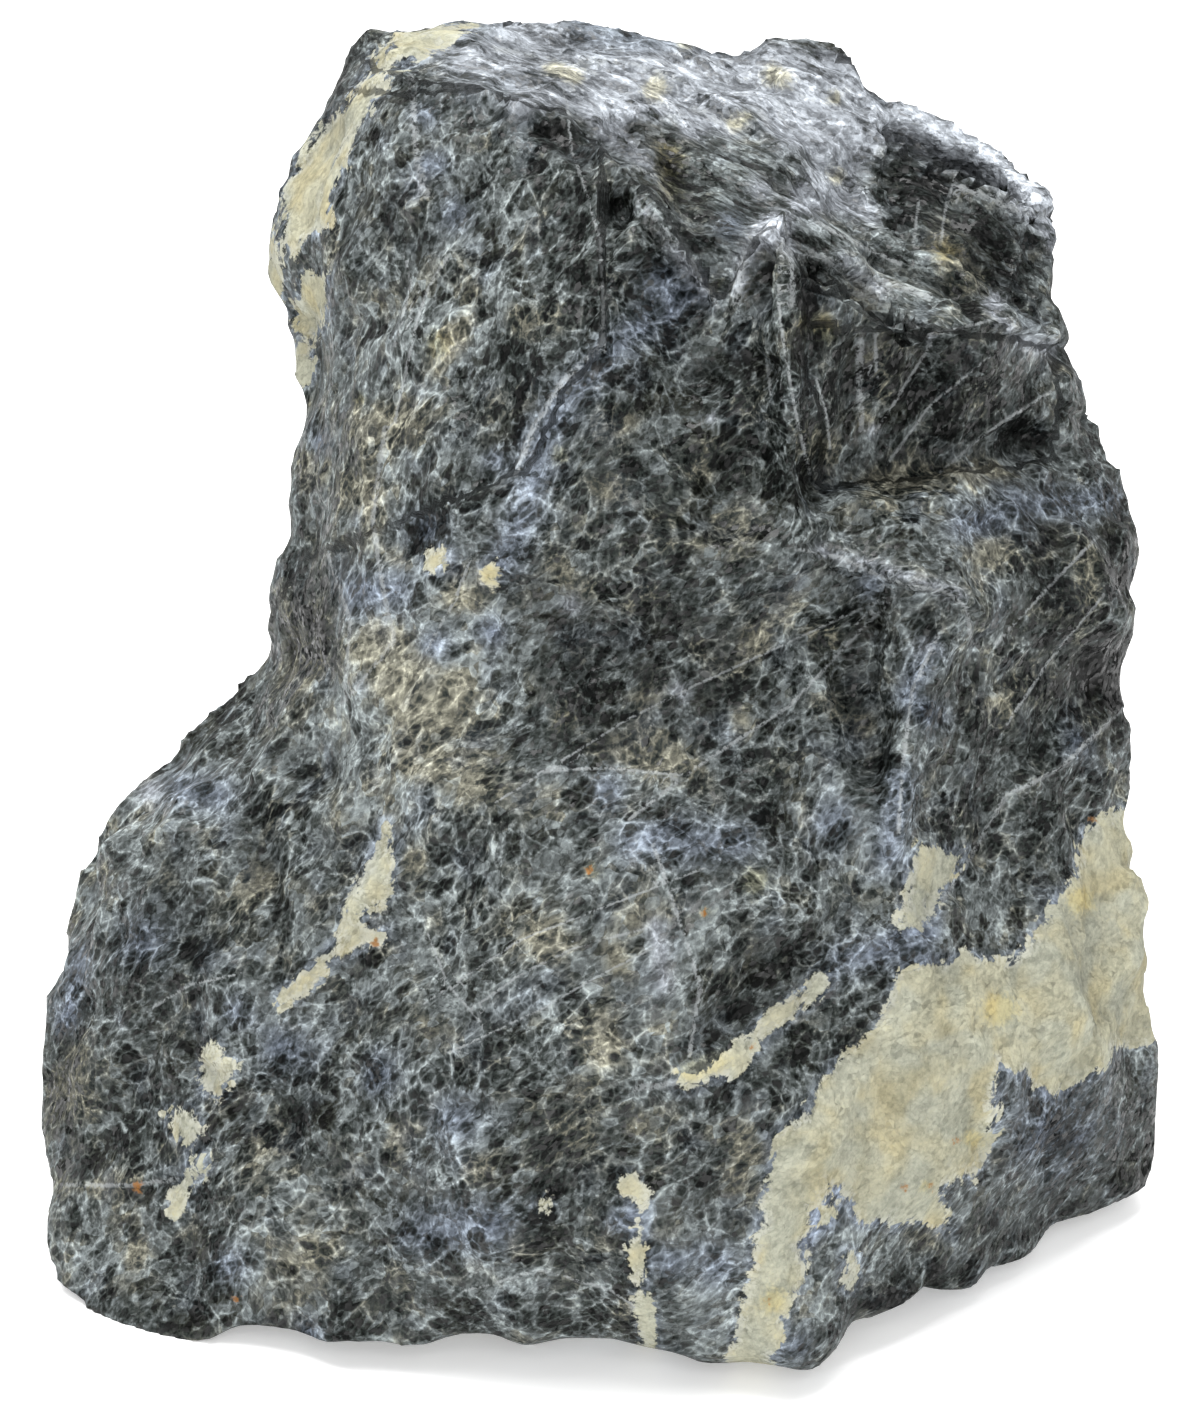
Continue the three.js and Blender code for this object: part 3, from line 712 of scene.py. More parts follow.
# Zones of the rock: the points of a path in the front view, and how far the zone reaches to each side.
# Blue, beige and ochre ones tint the rock. Black, dark, hazy and pale ones set how much pale haze it has.
# The black and dark ones are also painted shade, in pits, furrows and hollows, under the overhang and along
# the bottom, and the pale ones are also painted light and sheen on the upward top, the ledges' rims and the
# ridges.
ZONE_FALL = 1.3  # a zone's strength falls to 1 / e at its reach, times the root of this
MOST_STRENGTH = 2  # of zones that lie over each other
ZONES = {
    "blue": [
        (217, 796, 182, 790, 18), (81, 958, 66, 1022, 12), (145, 941, 26), (287, 1051, 24),
        (235, 1010, 14), (380, 1080, 18), (455, 1120, 24), (426, 1231, 495, 1225, 26), (606, 790, 16),
        (635, 842, 739, 842, 20), (716, 1266, 22), (664, 1260, 14), (832, 825, 20),
        (843, 958, 919, 947, 18), (936, 715, 907, 697, 930, 650, 13), (1081, 744, 12),
        (832, 1196, 809, 1237, 12), (861, 1214, 12), (797, 1347, 14), (310, 1335, 14), (1052, 1127, 44),
        (229, 1266, 18), (455, 215, 16), (425, 115, 13), (435, 165, 13), (320, 440, 10), (730, 225, 14),
        (655, 280, 18), (697, 290, 640, 325, 600, 362, 562, 402, 540, 450, 525, 510, 505, 560, 19),
        (495, 460, 12), (395, 590, 360, 595, 20), (490, 630, 14), (435, 645, 14),
        (965, 525, 1030, 505, 1110, 500, 16), (425, 530, 20), (870, 585, 14), (700, 60, 520, 50, 40),
        (870, 110, 980, 140, 18), (900, 780, 890, 850, 16), (620, 1220, 16),
    ],
    "beige": [
        (252, 889, 22), (414, 860, 12), (548, 941, 22), (617, 958, 14), (438, 730, 28), (420, 761, 20),
        (646, 750, 20), (548, 796, 16), (484, 784, 20), (269, 1138, 18), (397, 1138, 12),
        (472, 1167, 14), (641, 1127, 16), (629, 1306, 14), (78, 1051, 72, 1109, 16),
        (66, 1185, 130, 1186, 9), (136, 1254, 12), (304, 1260, 24), (519, 1248, 18), (745, 1144, 20),
        (1000, 715, 1040, 675, 20), (455, 340, 15), (520, 325, 18), (435, 370, 14),
        (415, 425, 355, 425, 22), (365, 490, 370, 530, 20), (320, 475, 18), (465, 600, 22),
        (390, 665, 435, 685, 20), (755, 635, 12), (790, 610, 20), (660, 520, 16), (735, 530, 26),
        (610, 490, 16), (825, 320, 12), (880, 480, 20), (830, 450, 800, 430, 12), (865, 420, 10),
        (990, 545, 18), (1090, 560, 1070, 610, 15), (940, 245, 965, 280, 14), (955, 200, 12),
        (775, 110, 12), (655, 100, 12), (575, 75, 12), (672, 160, 16), (310, 620, 300, 680, 22),
        (490, 575, 12), (600, 1040, 26), (560, 1130, 22), (600, 745, 695, 760, 14), (690, 640, 14),
        (830, 705, 860, 722, 12), (560, 565, 590, 590, 12), (700, 470, 16), (900, 480, 990, 470, 12),
        (1040, 560, 12), (1080, 640, 12), (830, 640, 12), (640, 600, 14), (740, 720, 12), (560, 720, 12),
        (380, 640, 440, 720, 30), (400, 560, 14), (880, 380, 18), (740, 410, 18), (620, 420, 14),
        (980, 400, 14), (800, 330, 10), (1000, 1160, 12),
    ],
    "black_and_shadowed": [
        (543, 122, 565, 138, 13), (617, 203, 15), (632, 125, 640, 136, 9), (580, 130, 586, 150, 7),
        (898, 160, 895, 185, 908, 205, 17), (930, 175, 935, 195, 12), (960, 165, 9),
        (972, 190, 1003, 200, 5), (1018, 206, 5), (978, 232, 1000, 272, 17), (1034, 238, 12),
        (1018, 290, 8), (968, 308, 11), (956, 280, 7), (876, 256, 8), (898, 332, 7),
        (803, 235, 826, 250, 8), (812, 275, 14), (800, 280, 802, 335, 11), (758, 262, 761, 300, 10),
        (702, 318, 10), (645, 385, 12), (752, 365, 758, 385, 12), (470, 405, 12), (510, 362, 12),
        (515, 390, 513, 440, 9), (650, 255, 14), (700, 47, 745, 60, 5), (538, 44, 575, 42, 9),
        (795, 50, 842, 58, 7), (810, 68, 835, 80, 4), (700, 97, 726, 110, 6), (585, 83, 5),
        (525, 76, 550, 86, 9), (915, 380, 920, 400, 13), (1018, 434, 1038, 438, 14), (1058, 360, 9),
        (945, 432, 15), (668, 618, 22), (565, 640, 590, 690, 22), (850, 612, 835, 640, 15),
        (875, 765, 16), (735, 780, 16), (1050, 560, 1045, 595, 22), (1110, 570, 16),
        (1090, 640, 1120, 690, 28), (1045, 690, 20), (1045, 815, 18), (1095, 785, 13), (268, 825, 17),
        (308, 772, 13), (195, 950, 16), (785, 948, 18), (735, 1005, 755, 985, 20), (800, 1055, 17),
        (305, 1115, 18), (535, 1125, 15), (545, 1240, 18), (470, 1312, 15), (550, 1320, 15),
        (345, 1325, 15), (115, 1145, 20), (1155, 1120, 1150, 1180, 26), (1060, 1135, 20),
        (880, 1305, 935, 1285, 24), (515, 1030, 480, 1055, 10), (850, 690, 14), (315, 580, 322, 650, 18),
        (768, 820, 14), (980, 735, 20), (545, 1195, 14), (668, 150, 674, 190, 11), (820, 300, 12),
        (965, 312, 12), (1115, 672, 24), (635, 1270, 12), (745, 1075, 12), (738, 1010, 12),
        (775, 1097, 9), (418, 548, 10), (552, 128, 11), (850, 192, 10), (1095, 680, 16), (500, 590, 7),
        (740, 1050, 10), (825, 1005, 10),
    ],
    "dark_and_shaded": [
        (425, 105, 470, 112, 22), (520, 150, 560, 190, 32), (570, 220, 600, 300, 36),
        (655, 240, 620, 290, 20), (520, 300, 540, 350, 28), (495, 372, 560, 380, 22),
        (620, 330, 700, 340, 30), (660, 170, 700, 215, 18), (780, 300, 820, 360, 30),
        (700, 400, 790, 440, 44), (640, 400, 655, 500, 28), (740, 500, 720, 545, 28),
        (830, 370, 800, 400, 26), (900, 370, 1010, 400, 36), (940, 430, 1030, 425, 26), (1110, 420, 18),
        (1120, 500, 1120, 590, 24), (940, 210, 970, 230, 22), (980, 300, 16), (600, 580, 660, 600, 26),
        (600, 640, 640, 650, 24), (580, 700, 570, 740, 26), (585, 530, 18),
        (290, 580, 315, 620, 305, 660, 22), (510, 742, 20), (690, 720, 705, 745, 18),
        (790, 735, 770, 770, 20), (660, 820, 17), (1050, 540, 1065, 620, 24), (1020, 640, 18),
        (960, 650, 940, 700, 22), (1000, 700, 1060, 720, 32), (1115, 680, 22), (980, 760, 26),
        (1035, 770, 18), (215, 705, 265, 700, 18), (130, 935, 180, 950, 28), (120, 990, 185, 1035, 30),
        (190, 1065, 18), (140, 1105, 130, 1150, 34), (60, 1050, 62, 1150, 20), (170, 1190, 16),
        (310, 1100, 350, 1095, 20), (370, 1060, 14), (550, 1100, 550, 1200, 28), (540, 1230, 22),
        (590, 1260, 625, 1262, 22), (655, 1180, 17), (380, 1300, 18), (180, 1300, 200, 1260, 20),
        (95, 1300, 16), (140, 1325, 330, 1335, 20), (700, 1060, 730, 1085, 18), (785, 1100, 15),
        (1060, 1110, 1110, 1180, 36), (1060, 1205, 960, 1250, 870, 1310, 26), (735, 1220, 14),
        (440, 495, 475, 500, 18), (425, 535, 14), (345, 455, 16), (390, 220, 18), (345, 265, 16),
        (820, 960, 14), (865, 1030, 13), (300, 190, 16), (530, 845, 14), (245, 905, 13), (450, 102, 18),
        (592, 245, 16), (395, 252, 16), (690, 470, 790, 465, 28), (640, 505, 18), (830, 400, 18),
        (1010, 385, 17), (710, 690, 18), (945, 715, 16), (745, 770, 665, 830, 18), (732, 880, 15),
        (445, 860, 15), (282, 822, 15), (742, 1030, 745, 1080, 14), (860, 1030, 12), (155, 1105, 14),
        (180, 1200, 16), (630, 1260, 650, 1330, 16), (890, 550, 14), (1050, 700, 20), (435, 320, 12),
        (440, 440, 435, 530, 14), (720, 1215, 14), (295, 965, 12), (700, 560, 20),
        (340, 75, 300, 150, 10), (450, 105, 14), (640, 100, 9), (870, 135, 9), (745, 275, 9),
        (832, 355, 832, 415, 11), (600, 430, 600, 470, 14), (690, 400, 14), (570, 540, 14),
        (650, 530, 730, 542, 14), (430, 552, 8), (900, 562, 10), (1048, 640, 13),
        (1112, 640, 1112, 700, 20), (1000, 730, 1055, 745, 16), (930, 700, 12), (760, 682, 12),
        (690, 692, 9), (610, 682, 14), (515, 740, 14), (785, 745, 775, 800, 14), (960, 820, 14),
        (540, 842, 14), (110, 850, 10), (205, 1058, 10), (740, 1050, 10), (870, 1020, 8),
        (575, 1045, 605, 1075, 16), (370, 1082, 14), (320, 1120, 14), (180, 1200, 12),
        (160, 1270, 240, 1275, 14), (635, 1262, 12), (480, 1318, 14), (738, 1010, 730, 1075, 15),
        (480, 985, 13), (425, 548, 11), (885, 905, 9), (130, 935, 11), (275, 810, 11),
        (300, 600, 325, 665, 12), (700, 680, 735, 680, 11), (795, 682, 10), (620, 678, 10),
        (575, 712, 11), (640, 742, 9), (545, 140, 12), (850, 190, 11), (910, 175, 965, 185, 10),
        (968, 320, 10), (545, 360, 10), (705, 415, 12), (640, 475, 13), (845, 430, 10), (940, 435, 10),
        (1010, 380, 10), (900, 385, 12), (1115, 500, 1125, 580, 12), (1060, 690, 1118, 680, 16),
        (980, 800, 13), (1045, 835, 12), (1065, 885, 10), (180, 1200, 10), (645, 1190, 8),
        (555, 1078, 10), (390, 140, 10), (510, 180, 11), (580, 250, 10), (430, 315, 8), (340, 480, 9),
        (500, 590, 10), (750, 375, 12), (875, 130, 8), (575, 48, 12), (905, 568, 8), (855, 612, 10),
        (120, 850, 10), (205, 1140, 170, 1110, 9), (400, 1240, 10), (1060, 580, 10),
        (830, 370, 920, 385, 1000, 390, 30), (640, 110, 630, 150, 12), (682, 165, 13), (875, 130, 9),
        (920, 180, 965, 188, 12), (745, 270, 12), (590, 245, 12), (812, 300, 10), (1050, 700, 14),
        (700, 690, 780, 700, 14), (570, 715, 640, 740, 14), (850, 620, 12), (660, 475, 12),
        (310, 640, 16), (250, 1150, 305, 1145, 12), (140, 1108, 12), (470, 1320, 14), (580, 1270, 14),
        (475, 565, 515, 572, 12), (400, 562, 430, 546, 11), (1060, 680, 1120, 650, 16), (890, 915, 10),
        (1045, 830, 10), (960, 830, 10), (900, 430, 1000, 392, 14), (690, 470, 760, 470, 14),
        (700, 400, 14), (650, 1185, 10), (525, 830, 525, 870, 12), (445, 865, 9), (470, 250, 11),
        (550, 130, 12), (690, 180, 12), (720, 210, 10), (720, 640, 760, 600, 14), (540, 670, 12),
        (150, 1265, 12), (720, 1270, 690, 1280, 10), (465, 1130, 11), (480, 985, 10),
    ],
    "hazy": [
        (390, 290, 450, 340, 38), (460, 180, 440, 150, 20), (380, 140, 17), (460, 335, 20),
        (420, 380, 380, 440, 24), (385, 480, 380, 560, 22), (430, 580, 26), (380, 620, 480, 650, 46),
        (385, 660, 460, 660, 40), (340, 725, 320, 745, 390, 745, 40), (320, 742, 26), (380, 700, 40),
        (440, 778, 390, 800, 350, 820, 34), (420, 790, 24), (215, 820, 150, 820, 20), (140, 782, 26),
        (130, 880, 180, 870, 22), (500, 540, 540, 500, 20), (530, 460, 16), (540, 580, 580, 610, 16),
        (500, 650, 20), (820, 570, 900, 600, 905, 640, 20), (945, 520, 985, 550, 26),
        (950, 500, 990, 470, 1020, 460, 24), (690, 698, 650, 702, 14),
        (820, 700, 815, 740, 820, 785, 20), (620, 780, 665, 785, 16), (905, 690, 900, 780, 14),
        (860, 852, 20), (790, 895, 720, 920, 24), (785, 905, 22), (630, 855, 22),
        (650, 925, 660, 980, 650, 1015, 28), (690, 935, 20), (540, 955, 540, 1015, 24), (862, 975, 17),
        (862, 972, 14), (415, 1055, 430, 1100, 26), (460, 1140, 440, 1180, 24),
        (620, 1060, 645, 1095, 26), (655, 1040, 20), (665, 1130, 18), (740, 1180, 18),
        (730, 1260, 700, 1300, 710, 1345, 30), (675, 1240, 20), (825, 1205, 870, 1245, 28),
        (808, 1270, 812, 1320, 20), (260, 1250, 18), (300, 1220, 18), (345, 1180, 16),
        (70, 1250, 100, 1265, 22), (1140, 1020, 16), (430, 930, 465, 950, 26), (405, 900, 18),
        (840, 300, 900, 312, 18), (860, 295, 890, 308, 14), (820, 255, 865, 250, 16), (1030, 340, 16),
        (1015, 335, 1045, 350, 14), (575, 860, 18), (560, 945, 20), (340, 330, 18), (70, 1000, 14),
        (340, 800, 24), (140, 1220, 16), (600, 345, 560, 385, 12), (820, 820, 20),
        (655, 225, 685, 260, 10), (685, 362, 14), (642, 438, 18), (645, 436, 12), (975, 490, 20),
        (520, 522, 18), (440, 580, 16), (568, 615, 16), (430, 692, 24), (350, 740, 26), (425, 770, 20),
        (90, 895, 110, 810, 20), (765, 635, 14), (950, 655, 14), (800, 770, 16), (642, 790, 16),
        (725, 742, 12), (870, 850, 915, 885, 18), (862, 972, 14), (935, 925, 18), (605, 950, 18),
        (512, 1082, 20), (640, 1080, 20), (800, 1015, 10), (300, 1010, 330, 1050, 22), (240, 1032, 14),
        (265, 1285, 120, 1275, 20), (435, 1240, 18), (672, 1240, 16), (805, 1312, 18), (845, 1220, 20),
        (720, 1310, 18), (370, 345, 20), (495, 290, 16), (400, 465, 16), (875, 335, 940, 335, 14),
        (1060, 375, 10), (1060, 440, 12), (300, 320, 12), (255, 675, 12), (450, 245, 14), (445, 145, 14),
        (600, 195, 10), (360, 1000, 16), (260, 850, 10), (450, 272, 10), (715, 312, 10), (640, 322, 10),
        (590, 352, 12), (380, 350, 14), (685, 366, 12), (1055, 385, 1050, 440, 8),
        (830, 485, 830, 520, 14), (710, 512, 12), (500, 530, 14), (980, 462, 14), (1050, 510, 14),
        (440, 582, 14), (380, 642, 14), (440, 670, 16), (960, 650, 12), (765, 640, 12), (350, 742, 18),
        (230, 802, 14), (480, 720, 16), (1118, 800, 12), (400, 822, 14), (880, 862, 16),
        (780, 885, 790, 908, 16), (940, 912, 14), (1010, 880, 16), (240, 960, 14), (860, 972, 12),
        (510, 1085, 14), (640, 1082, 12), (420, 1112, 14), (390, 1180, 14), (800, 1312, 14),
        (840, 1190, 860, 1260, 12), (470, 1282, 540, 1280, 16), (730, 1270, 16), (70, 1192, 12),
        (655, 238, 690, 242, 13), (450, 285, 12), (368, 640, 378, 685, 16), (340, 742, 385, 735, 16),
        (470, 1155, 480, 1120, 13), (412, 1042, 13), (602, 1062, 645, 1065, 13), (858, 958, 11),
        (765, 895, 12), (722, 820, 13), (618, 775, 652, 790, 11), (530, 880, 13), (482, 852, 12),
        (612, 935, 13), (922, 782, 13), (1108, 795, 9), (1050, 442, 12), (985, 300, 9),
        (945, 268, 925, 290, 12), (1000, 215, 1048, 290, 11), (1045, 340, 10), (865, 442, 9),
        (845, 510, 12), (695, 515, 14), (640, 445, 11), (690, 368, 12), (595, 345, 12), (430, 478, 12),
        (110, 782, 11), (235, 772, 14), (200, 820, 12), (225, 900, 11), (300, 922, 12), (225, 962, 12),
        (150, 1065, 13), (128, 1142, 11), (218, 1130, 9), (272, 1112, 10), (248, 1180, 12),
        (320, 1200, 318, 1260, 14), (258, 1280, 10), (60, 1252, 11), (445, 1282, 11), (490, 1270, 9),
        (700, 1250, 705, 1320, 14), (802, 1300, 9), (862, 1270, 11), (930, 1242, 12), (995, 1190, 10),
        (1130, 1152, 9), (325, 410, 8), (418, 400, 10), (880, 262, 920, 285, 10), (545, 420, 8),
        (830, 780, 13), (970, 650, 10), (660, 660, 10), (475, 340, 16), (495, 285, 12), (1050, 275, 10),
        (1062, 375, 9), (690, 545, 14), (1055, 452, 12), (1045, 518, 12), (370, 668, 20), (335, 740, 24),
        (445, 772, 18), (725, 822, 12), (620, 862, 12), (775, 900, 16), (870, 965, 14), (920, 935, 14),
        (1000, 930, 12), (490, 1012, 12), (550, 1035, 14), (410, 1120, 14), (460, 1165, 16),
        (635, 1075, 11), (665, 1240, 11), (870, 1275, 14), (940, 1245, 12), (840, 500, 10),
        (815, 440, 9), (555, 880, 12), (58, 1265, 10), (225, 1102, 12), (315, 735, 365, 745, 18),
        (440, 775, 15), (365, 45, 11), (355, 128, 10), (770, 905, 13), (872, 965, 13), (455, 330, 16),
        (380, 700, 18), (380, 810, 14), (930, 930, 12), (710, 560, 12), (1005, 465, 12), (640, 265, 12),
        (715, 320, 12),
    ],
    "pale_and_lit": [
        (465, 60, 560, 60, 620, 80, 780, 92, 32), (520, 30, 540, 30, 20), (620, 95, 690, 78, 26),
        (600, 110, 18), (830, 100, 855, 145, 820, 195, 26), (760, 60, 840, 72, 24),
        (880, 122, 940, 142, 1000, 172, 1045, 212, 19), (925, 135, 1000, 165, 14), (1035, 205, 16),
        (740, 290, 743, 262, 755, 240, 780, 226, 790, 250, 10), (768, 232, 14), (730, 128, 10),
        (820, 550, 900, 575, 960, 595, 7), (440, 560, 8), (925, 645, 9), (418, 185, 8), (680, 692, 10),
        (655, 925, 665, 985, 9), (640, 205, 705, 290, 6), (1025, 343, 1048, 348, 12),
        (988, 305, 1010, 328, 7), (150, 790, 14), (873, 430, 6), (711, 418, 5), (845, 262, 880, 290, 10),
        (800, 200, 12), (570, 605, 10), (840, 145, 12), (790, 132, 835, 135, 22),
        (520, 106, 570, 90, 14), (835, 68, 862, 85, 12), (700, 122, 12), (1040, 205, 10),
        (825, 182, 870, 215, 14), (770, 236, 8), (900, 108, 960, 135, 1030, 180, 10), (760, 190, 14),
        (610, 135, 650, 165, 12), (690, 130, 10), (1050, 220, 1052, 250, 8), (775, 225, 10),
        (852, 76, 12), (998, 298, 9), (925, 335, 8),
    ],
    "ochre": [
        (685, 42, 8), (772, 72, 784, 80, 9), (735, 122, 746, 118, 8), (835, 98, 7), (837, 176, 8),
        (812, 320, 828, 332, 12), (945, 252, 11), (715, 285, 8), (668, 150, 674, 190, 12),
        (550, 68, 575, 78, 8), (655, 88, 12), (1081, 900, 12), (971, 1138, 9), (774, 1300, 12),
        (690, 1073, 715, 1062, 10), (490, 574, 9), (590, 870, 7), (705, 912, 6), (755, 880, 12),
        (358, 398, 6), (925, 1186, 6), (438, 345, 12), (560, 455, 8), (1000, 1010, 16),
    ],
}

# Behind the front, veins and cream seams are sheets that cross the stone: the way each faces, how far
# from the stone's middle it lies and half its thickness, in millimetres.
BACK_VEINS = [
    ((0.80, 0.10, 0.59), 14, 0.3), ((0.55, 0.35, -0.76), -8, 0.25), ((-0.30, 0.20, 0.93), 25, 0.3),
    ((0.94, 0.25, -0.20), -30, 0.4), ((0.20, 0.50, 0.85), -18, 0.25), ((0.70, -0.30, 0.65), 38, 0.25),
    ((0.62, 0.25, -0.74), -34, 0.3), ((-0.75, 0.20, 0.63), -6, 0.25),
]
BACK_SEAMS = [((0.68, 0.15, 0.72), 22, 0.6), ((0.92, 0.10, 0.38), -30, 0.2)]
SEAM_SWELL = 2.2  # how much a seam swells and pinches out
SEAM_FADE = 4  # how much narrower it is by the front


def sheet_distances(sheets):
    """How far each place lies from each of some gently waving sheets, in millimetres."""
    right, deep, high = (places - np.array(VIEW_MIDDLE)).T / MM
    wave = 1.3 * np.sin(right / 8 + high / 11) + 0.9 * np.sin(deep / 6 - high / 9 + right / 14)
    facings = np.array([Vector(sheet[0]).normalized() for sheet in sheets])
    middles = np.array([sheet[1] for sheet in sheets])
    return np.stack([right, deep, high], 1) @ facings.T + wave[:, None] - middles


def zone_strength(points, zones):
    """0 far from every zone, 1 in the middle of one, and more where zones lie over each other."""
    strength = np.zeros(len(points))
    for *numbers, reach in zones:
        path = np.reshape(numbers, (-1, 2))
        strength += np.exp(-((beside_path(points, path)[0] / reach) ** 2) / ZONE_FALL)
    return np.minimum(strength, MOST_STRENGTH)


normals = vertex_rows(stone, "normal")
front_points = view_places(places)
facing = facing_camera(places, normals, *MARKS_TURN)

cream = [inside_outline(front_points, outline) * MM_PER_POINT for outline in CREAM_OUTLINES.values()]
cream += [
    (half_width - beside_path(front_points, path)[0]) * MM_PER_POINT
    for path, half_width in CREAM_VEINS.values()
]
depth_behind = np.maximum(-face_places(places)[2] - TAPER_FROM, 0) * (1 - facing)
cream = np.max(cream, axis=0) - SHEET_TAPER * depth_behind
back_veins = sheet_distances(BACK_VEINS)
back_seams = sheet_distances(BACK_SEAMS)
swell = np.sin(places[:, 2] / (8 * MM)) * np.sin(places[:, 0] / (11 * MM) + 1)
seam_widths = np.array([sheet[2] for sheet in BACK_SEAMS]) + SEAM_SWELL * swell[:, None]
cream_behind = (seam_widths - np.abs(back_seams)).max(1) - SEAM_FADE * facing
store("cream", np.maximum(cream, cream_behind))
rust = [reach - np.linalg.norm(front_points - (x, y), axis=1) for x, y, reach in RUST_SPOTS]
store("rust", np.where(facing > 0.5, np.max(rust, axis=0) * MM_PER_POINT, FAR_OUTSIDE))

# A vein's line runs between the vertices, so its sideways distance is kept with a sign, in half widths.
vein_near = np.full(len(places), np.inf)
vein_side = np.zeros(len(places))
for path, half_width in PALE_VEINS.values():
    nearest, across, past = beside_path(front_points, path)
    closer = nearest < vein_near
    vein_near[closer] = nearest[closer]
    vein_side[closer] = across[closer] / half_width
nearest_sheet = np.abs(back_veins).argmin(1)
back_near = np.take_along_axis(back_veins, nearest_sheet[:, None], 1)[:, 0]
back_width = np.array([sheet[2] for sheet in BACK_VEINS])[nearest_sheet]
store("vein_near", np.where(facing > 0.5, vein_near * MM_PER_POINT, np.abs(back_near)))
store("vein_side", np.where(facing > 0.5, vein_side, back_near / back_width))
for name, zones in ZONES.items():
    store(name, zone_strength(front_points, zones) * facing)
store("front", facing)

# ---- The stone's finish ----
# Near-black sodalite in small angular grains, with a web of fine pale veinlets, a bluish or beige haze
# where they crowd, cream feldspar with ragged edges, and a waxy gloss on the broken grain.

# Each place has a shade, from 0, black, to about 1, the palest haze, in steps that look even. Its colour
# is a hue, times the light that the shade stands for.
ROCK_HUE = (0.82, 1.0, 0.91, 1)
OLIVE_HUE = (0.97, 1.0, 0.72, 1)
NAVY_HUE = (0.72, 0.94, 1.24, 1)
GREY_HUE = (0.89, 1.0, 1.0, 1)
BEIGE_HUE = (1.02, 1.0, 0.79, 1)
BLUE_HUE = (0.82, 0.96, 1.19, 1)
# a bluish white for the pale zones, partly a painted sheen of the light from above
PALE_AND_SHEEN_HUE = (0.93, 1.0, 1.09, 1)
BRIGHTEST = 0.62  # how much light the palest haze gives back
SHADE_POWER = 2.2
MEAN_SHADE = 0.41
DARKEST_SHADE = 0.1
VEIL = (0.2, 0.5)  # the shades between which a hue goes over from the rock's to the haze's
# The black and dark zones' darkening is partly painted shade, the pale zones' lightening partly painted
# light.
ZONE_SHADES = {"hazy": 0.1, "pale_and_lit": 0.26, "dark_and_shaded": -0.1, "black_and_shadowed": -0.2}
BEIGE_SHADE, BLUE_SHADE, FRINGE_SHADE = 0.05, 0.03, 0.06

# The patterns: each one's size in millimetres, and how much it changes the shade.
SMALL_CELL, SMALL_CELL_SHADES = 1.0, -0.34
TINY_CELL, TINY_CELL_SHADES = 0.45, -0.3
GRAIN, GRAIN_SHADES = 0.7, 0.5
BLOT, BLOT_SHADES = 1.5, 0.4
NET, NET_SHADES = 2.4, 0.34
FINE_NET, FINE_NET_SHADES = 0.9, 0.18
PLATE, SMALL_PLATE, PLATE_SHADES = 1.5, 0.7, 0.75
THREAD, THREAD_SHADE = 4.5, 0.17

NET_SWAY = (0.8, 0.16)  # over how many millimetres the net's lines wander, and by how many
NET_SLOPE, FINE_NET_SLOPE = 0.5, 0.2  # millimetres over which a mesh darkens from its edge
NET_LEVEL, FINE_NET_LEVEL = 0.3, 0.5  # how much of a mesh's darkening is made up for at its edge
NET_MISSING = 0.6  # how much of both nets the layered rock lacks
PLATE_SHARE = 0.6  # of the larger plates
FINE_NET_LEAST = 0.4  # the fine net's strength where the net's meshes are at their palest
THREAD_SPREAD = 7.2  # turns the threads' noise into about as many millimetres from their lines
THREAD_EDGE = (0.03, 0.13)  # millimetres from a line between which it fades
FRINGE = (-1.8, -0.1)  # the bluish fringe round the cream, in millimetres inside its edge

# The stone behind the front has no zones. Its clouds are stronger instead, and tint it in these steps.
BACK_TINT = 0.5
BACK_CLOUDS = (0.5, 0.62)
PATCH_SHADES, PATCH_SHADES_BEHIND = 0.15, 0.75
CLOUD_SHADES, CLOUD_SHADES_BEHIND = 0.4, 0.3
REGION_SHADES_BEHIND = 0.7

WHITE_VEIN = (0.50, 0.53, 0.54, 1)
VEIN_STRENGTH = 0.48
VEIN_WANDER = 3.2
CREAM = (0.55, 0.535, 0.395, 1)
CREAM_SHADE = (0.32, 0.32, 0.235, 1)
CREAM_RIM = (0.60, 0.61, 0.54, 1)
CREAM_GREY = (0.94, 1.0, 1.13)
CREAM_WARMTH = (1.02, 0.92, 0.72)
CREAM_VARIETY = 0.6  # how far it goes towards its warm, grey or rim colour
RUST = (0.36, 0.15, 0.03, 1)
RUST_STRENGTH = 0.85
OCHRE_TINT = (1.08, 0.95, 0.6)
OCHRE_STRENGTH = 0.7
# Painted shade and light: the colour is darkened in the relief's hollows and lightened on its ridges.
HOLLOW_PAINTED_SHADE, RIDGE_PAINTED_LIGHT = 0.42, 0.34  # in the deepest hollows, and what the highest ridges add
HOLLOW_TO_RIDGE = (-1.8, 1.2)  # millimetres of relief
ROUGHNESS, HAZE_ROUGHNESS, CELL_ROUGHNESS, CREAM_ROUGHNESS = 0.32, 0.2, 0.18, 0.2
COAT, COAT_ROUGHNESS = 0.5, 0.2
SPECULAR = 0.05

finish.use_nodes = True
tree = finish.node_tree
shader = tree.nodes["Principled BSDF"]
surface = Wire(tree)


def kept(field_name, output="Fac"):
    """What is kept on the mesh under this name, in the finish's tree."""
    return surface.node("ShaderNodeAttribute", {"attribute_name": field_name}, {}, output)


def kept_clouds(field_name):
    """Three clouds that are kept together on the mesh. Each is from 0 to 1, and mostly near 0.5."""
    first = surface.node("ShaderNodeSeparateXYZ", {}, {0: kept(field_name, "Vector")}, "X")
    return first, first.other("Y"), first.other("Z")


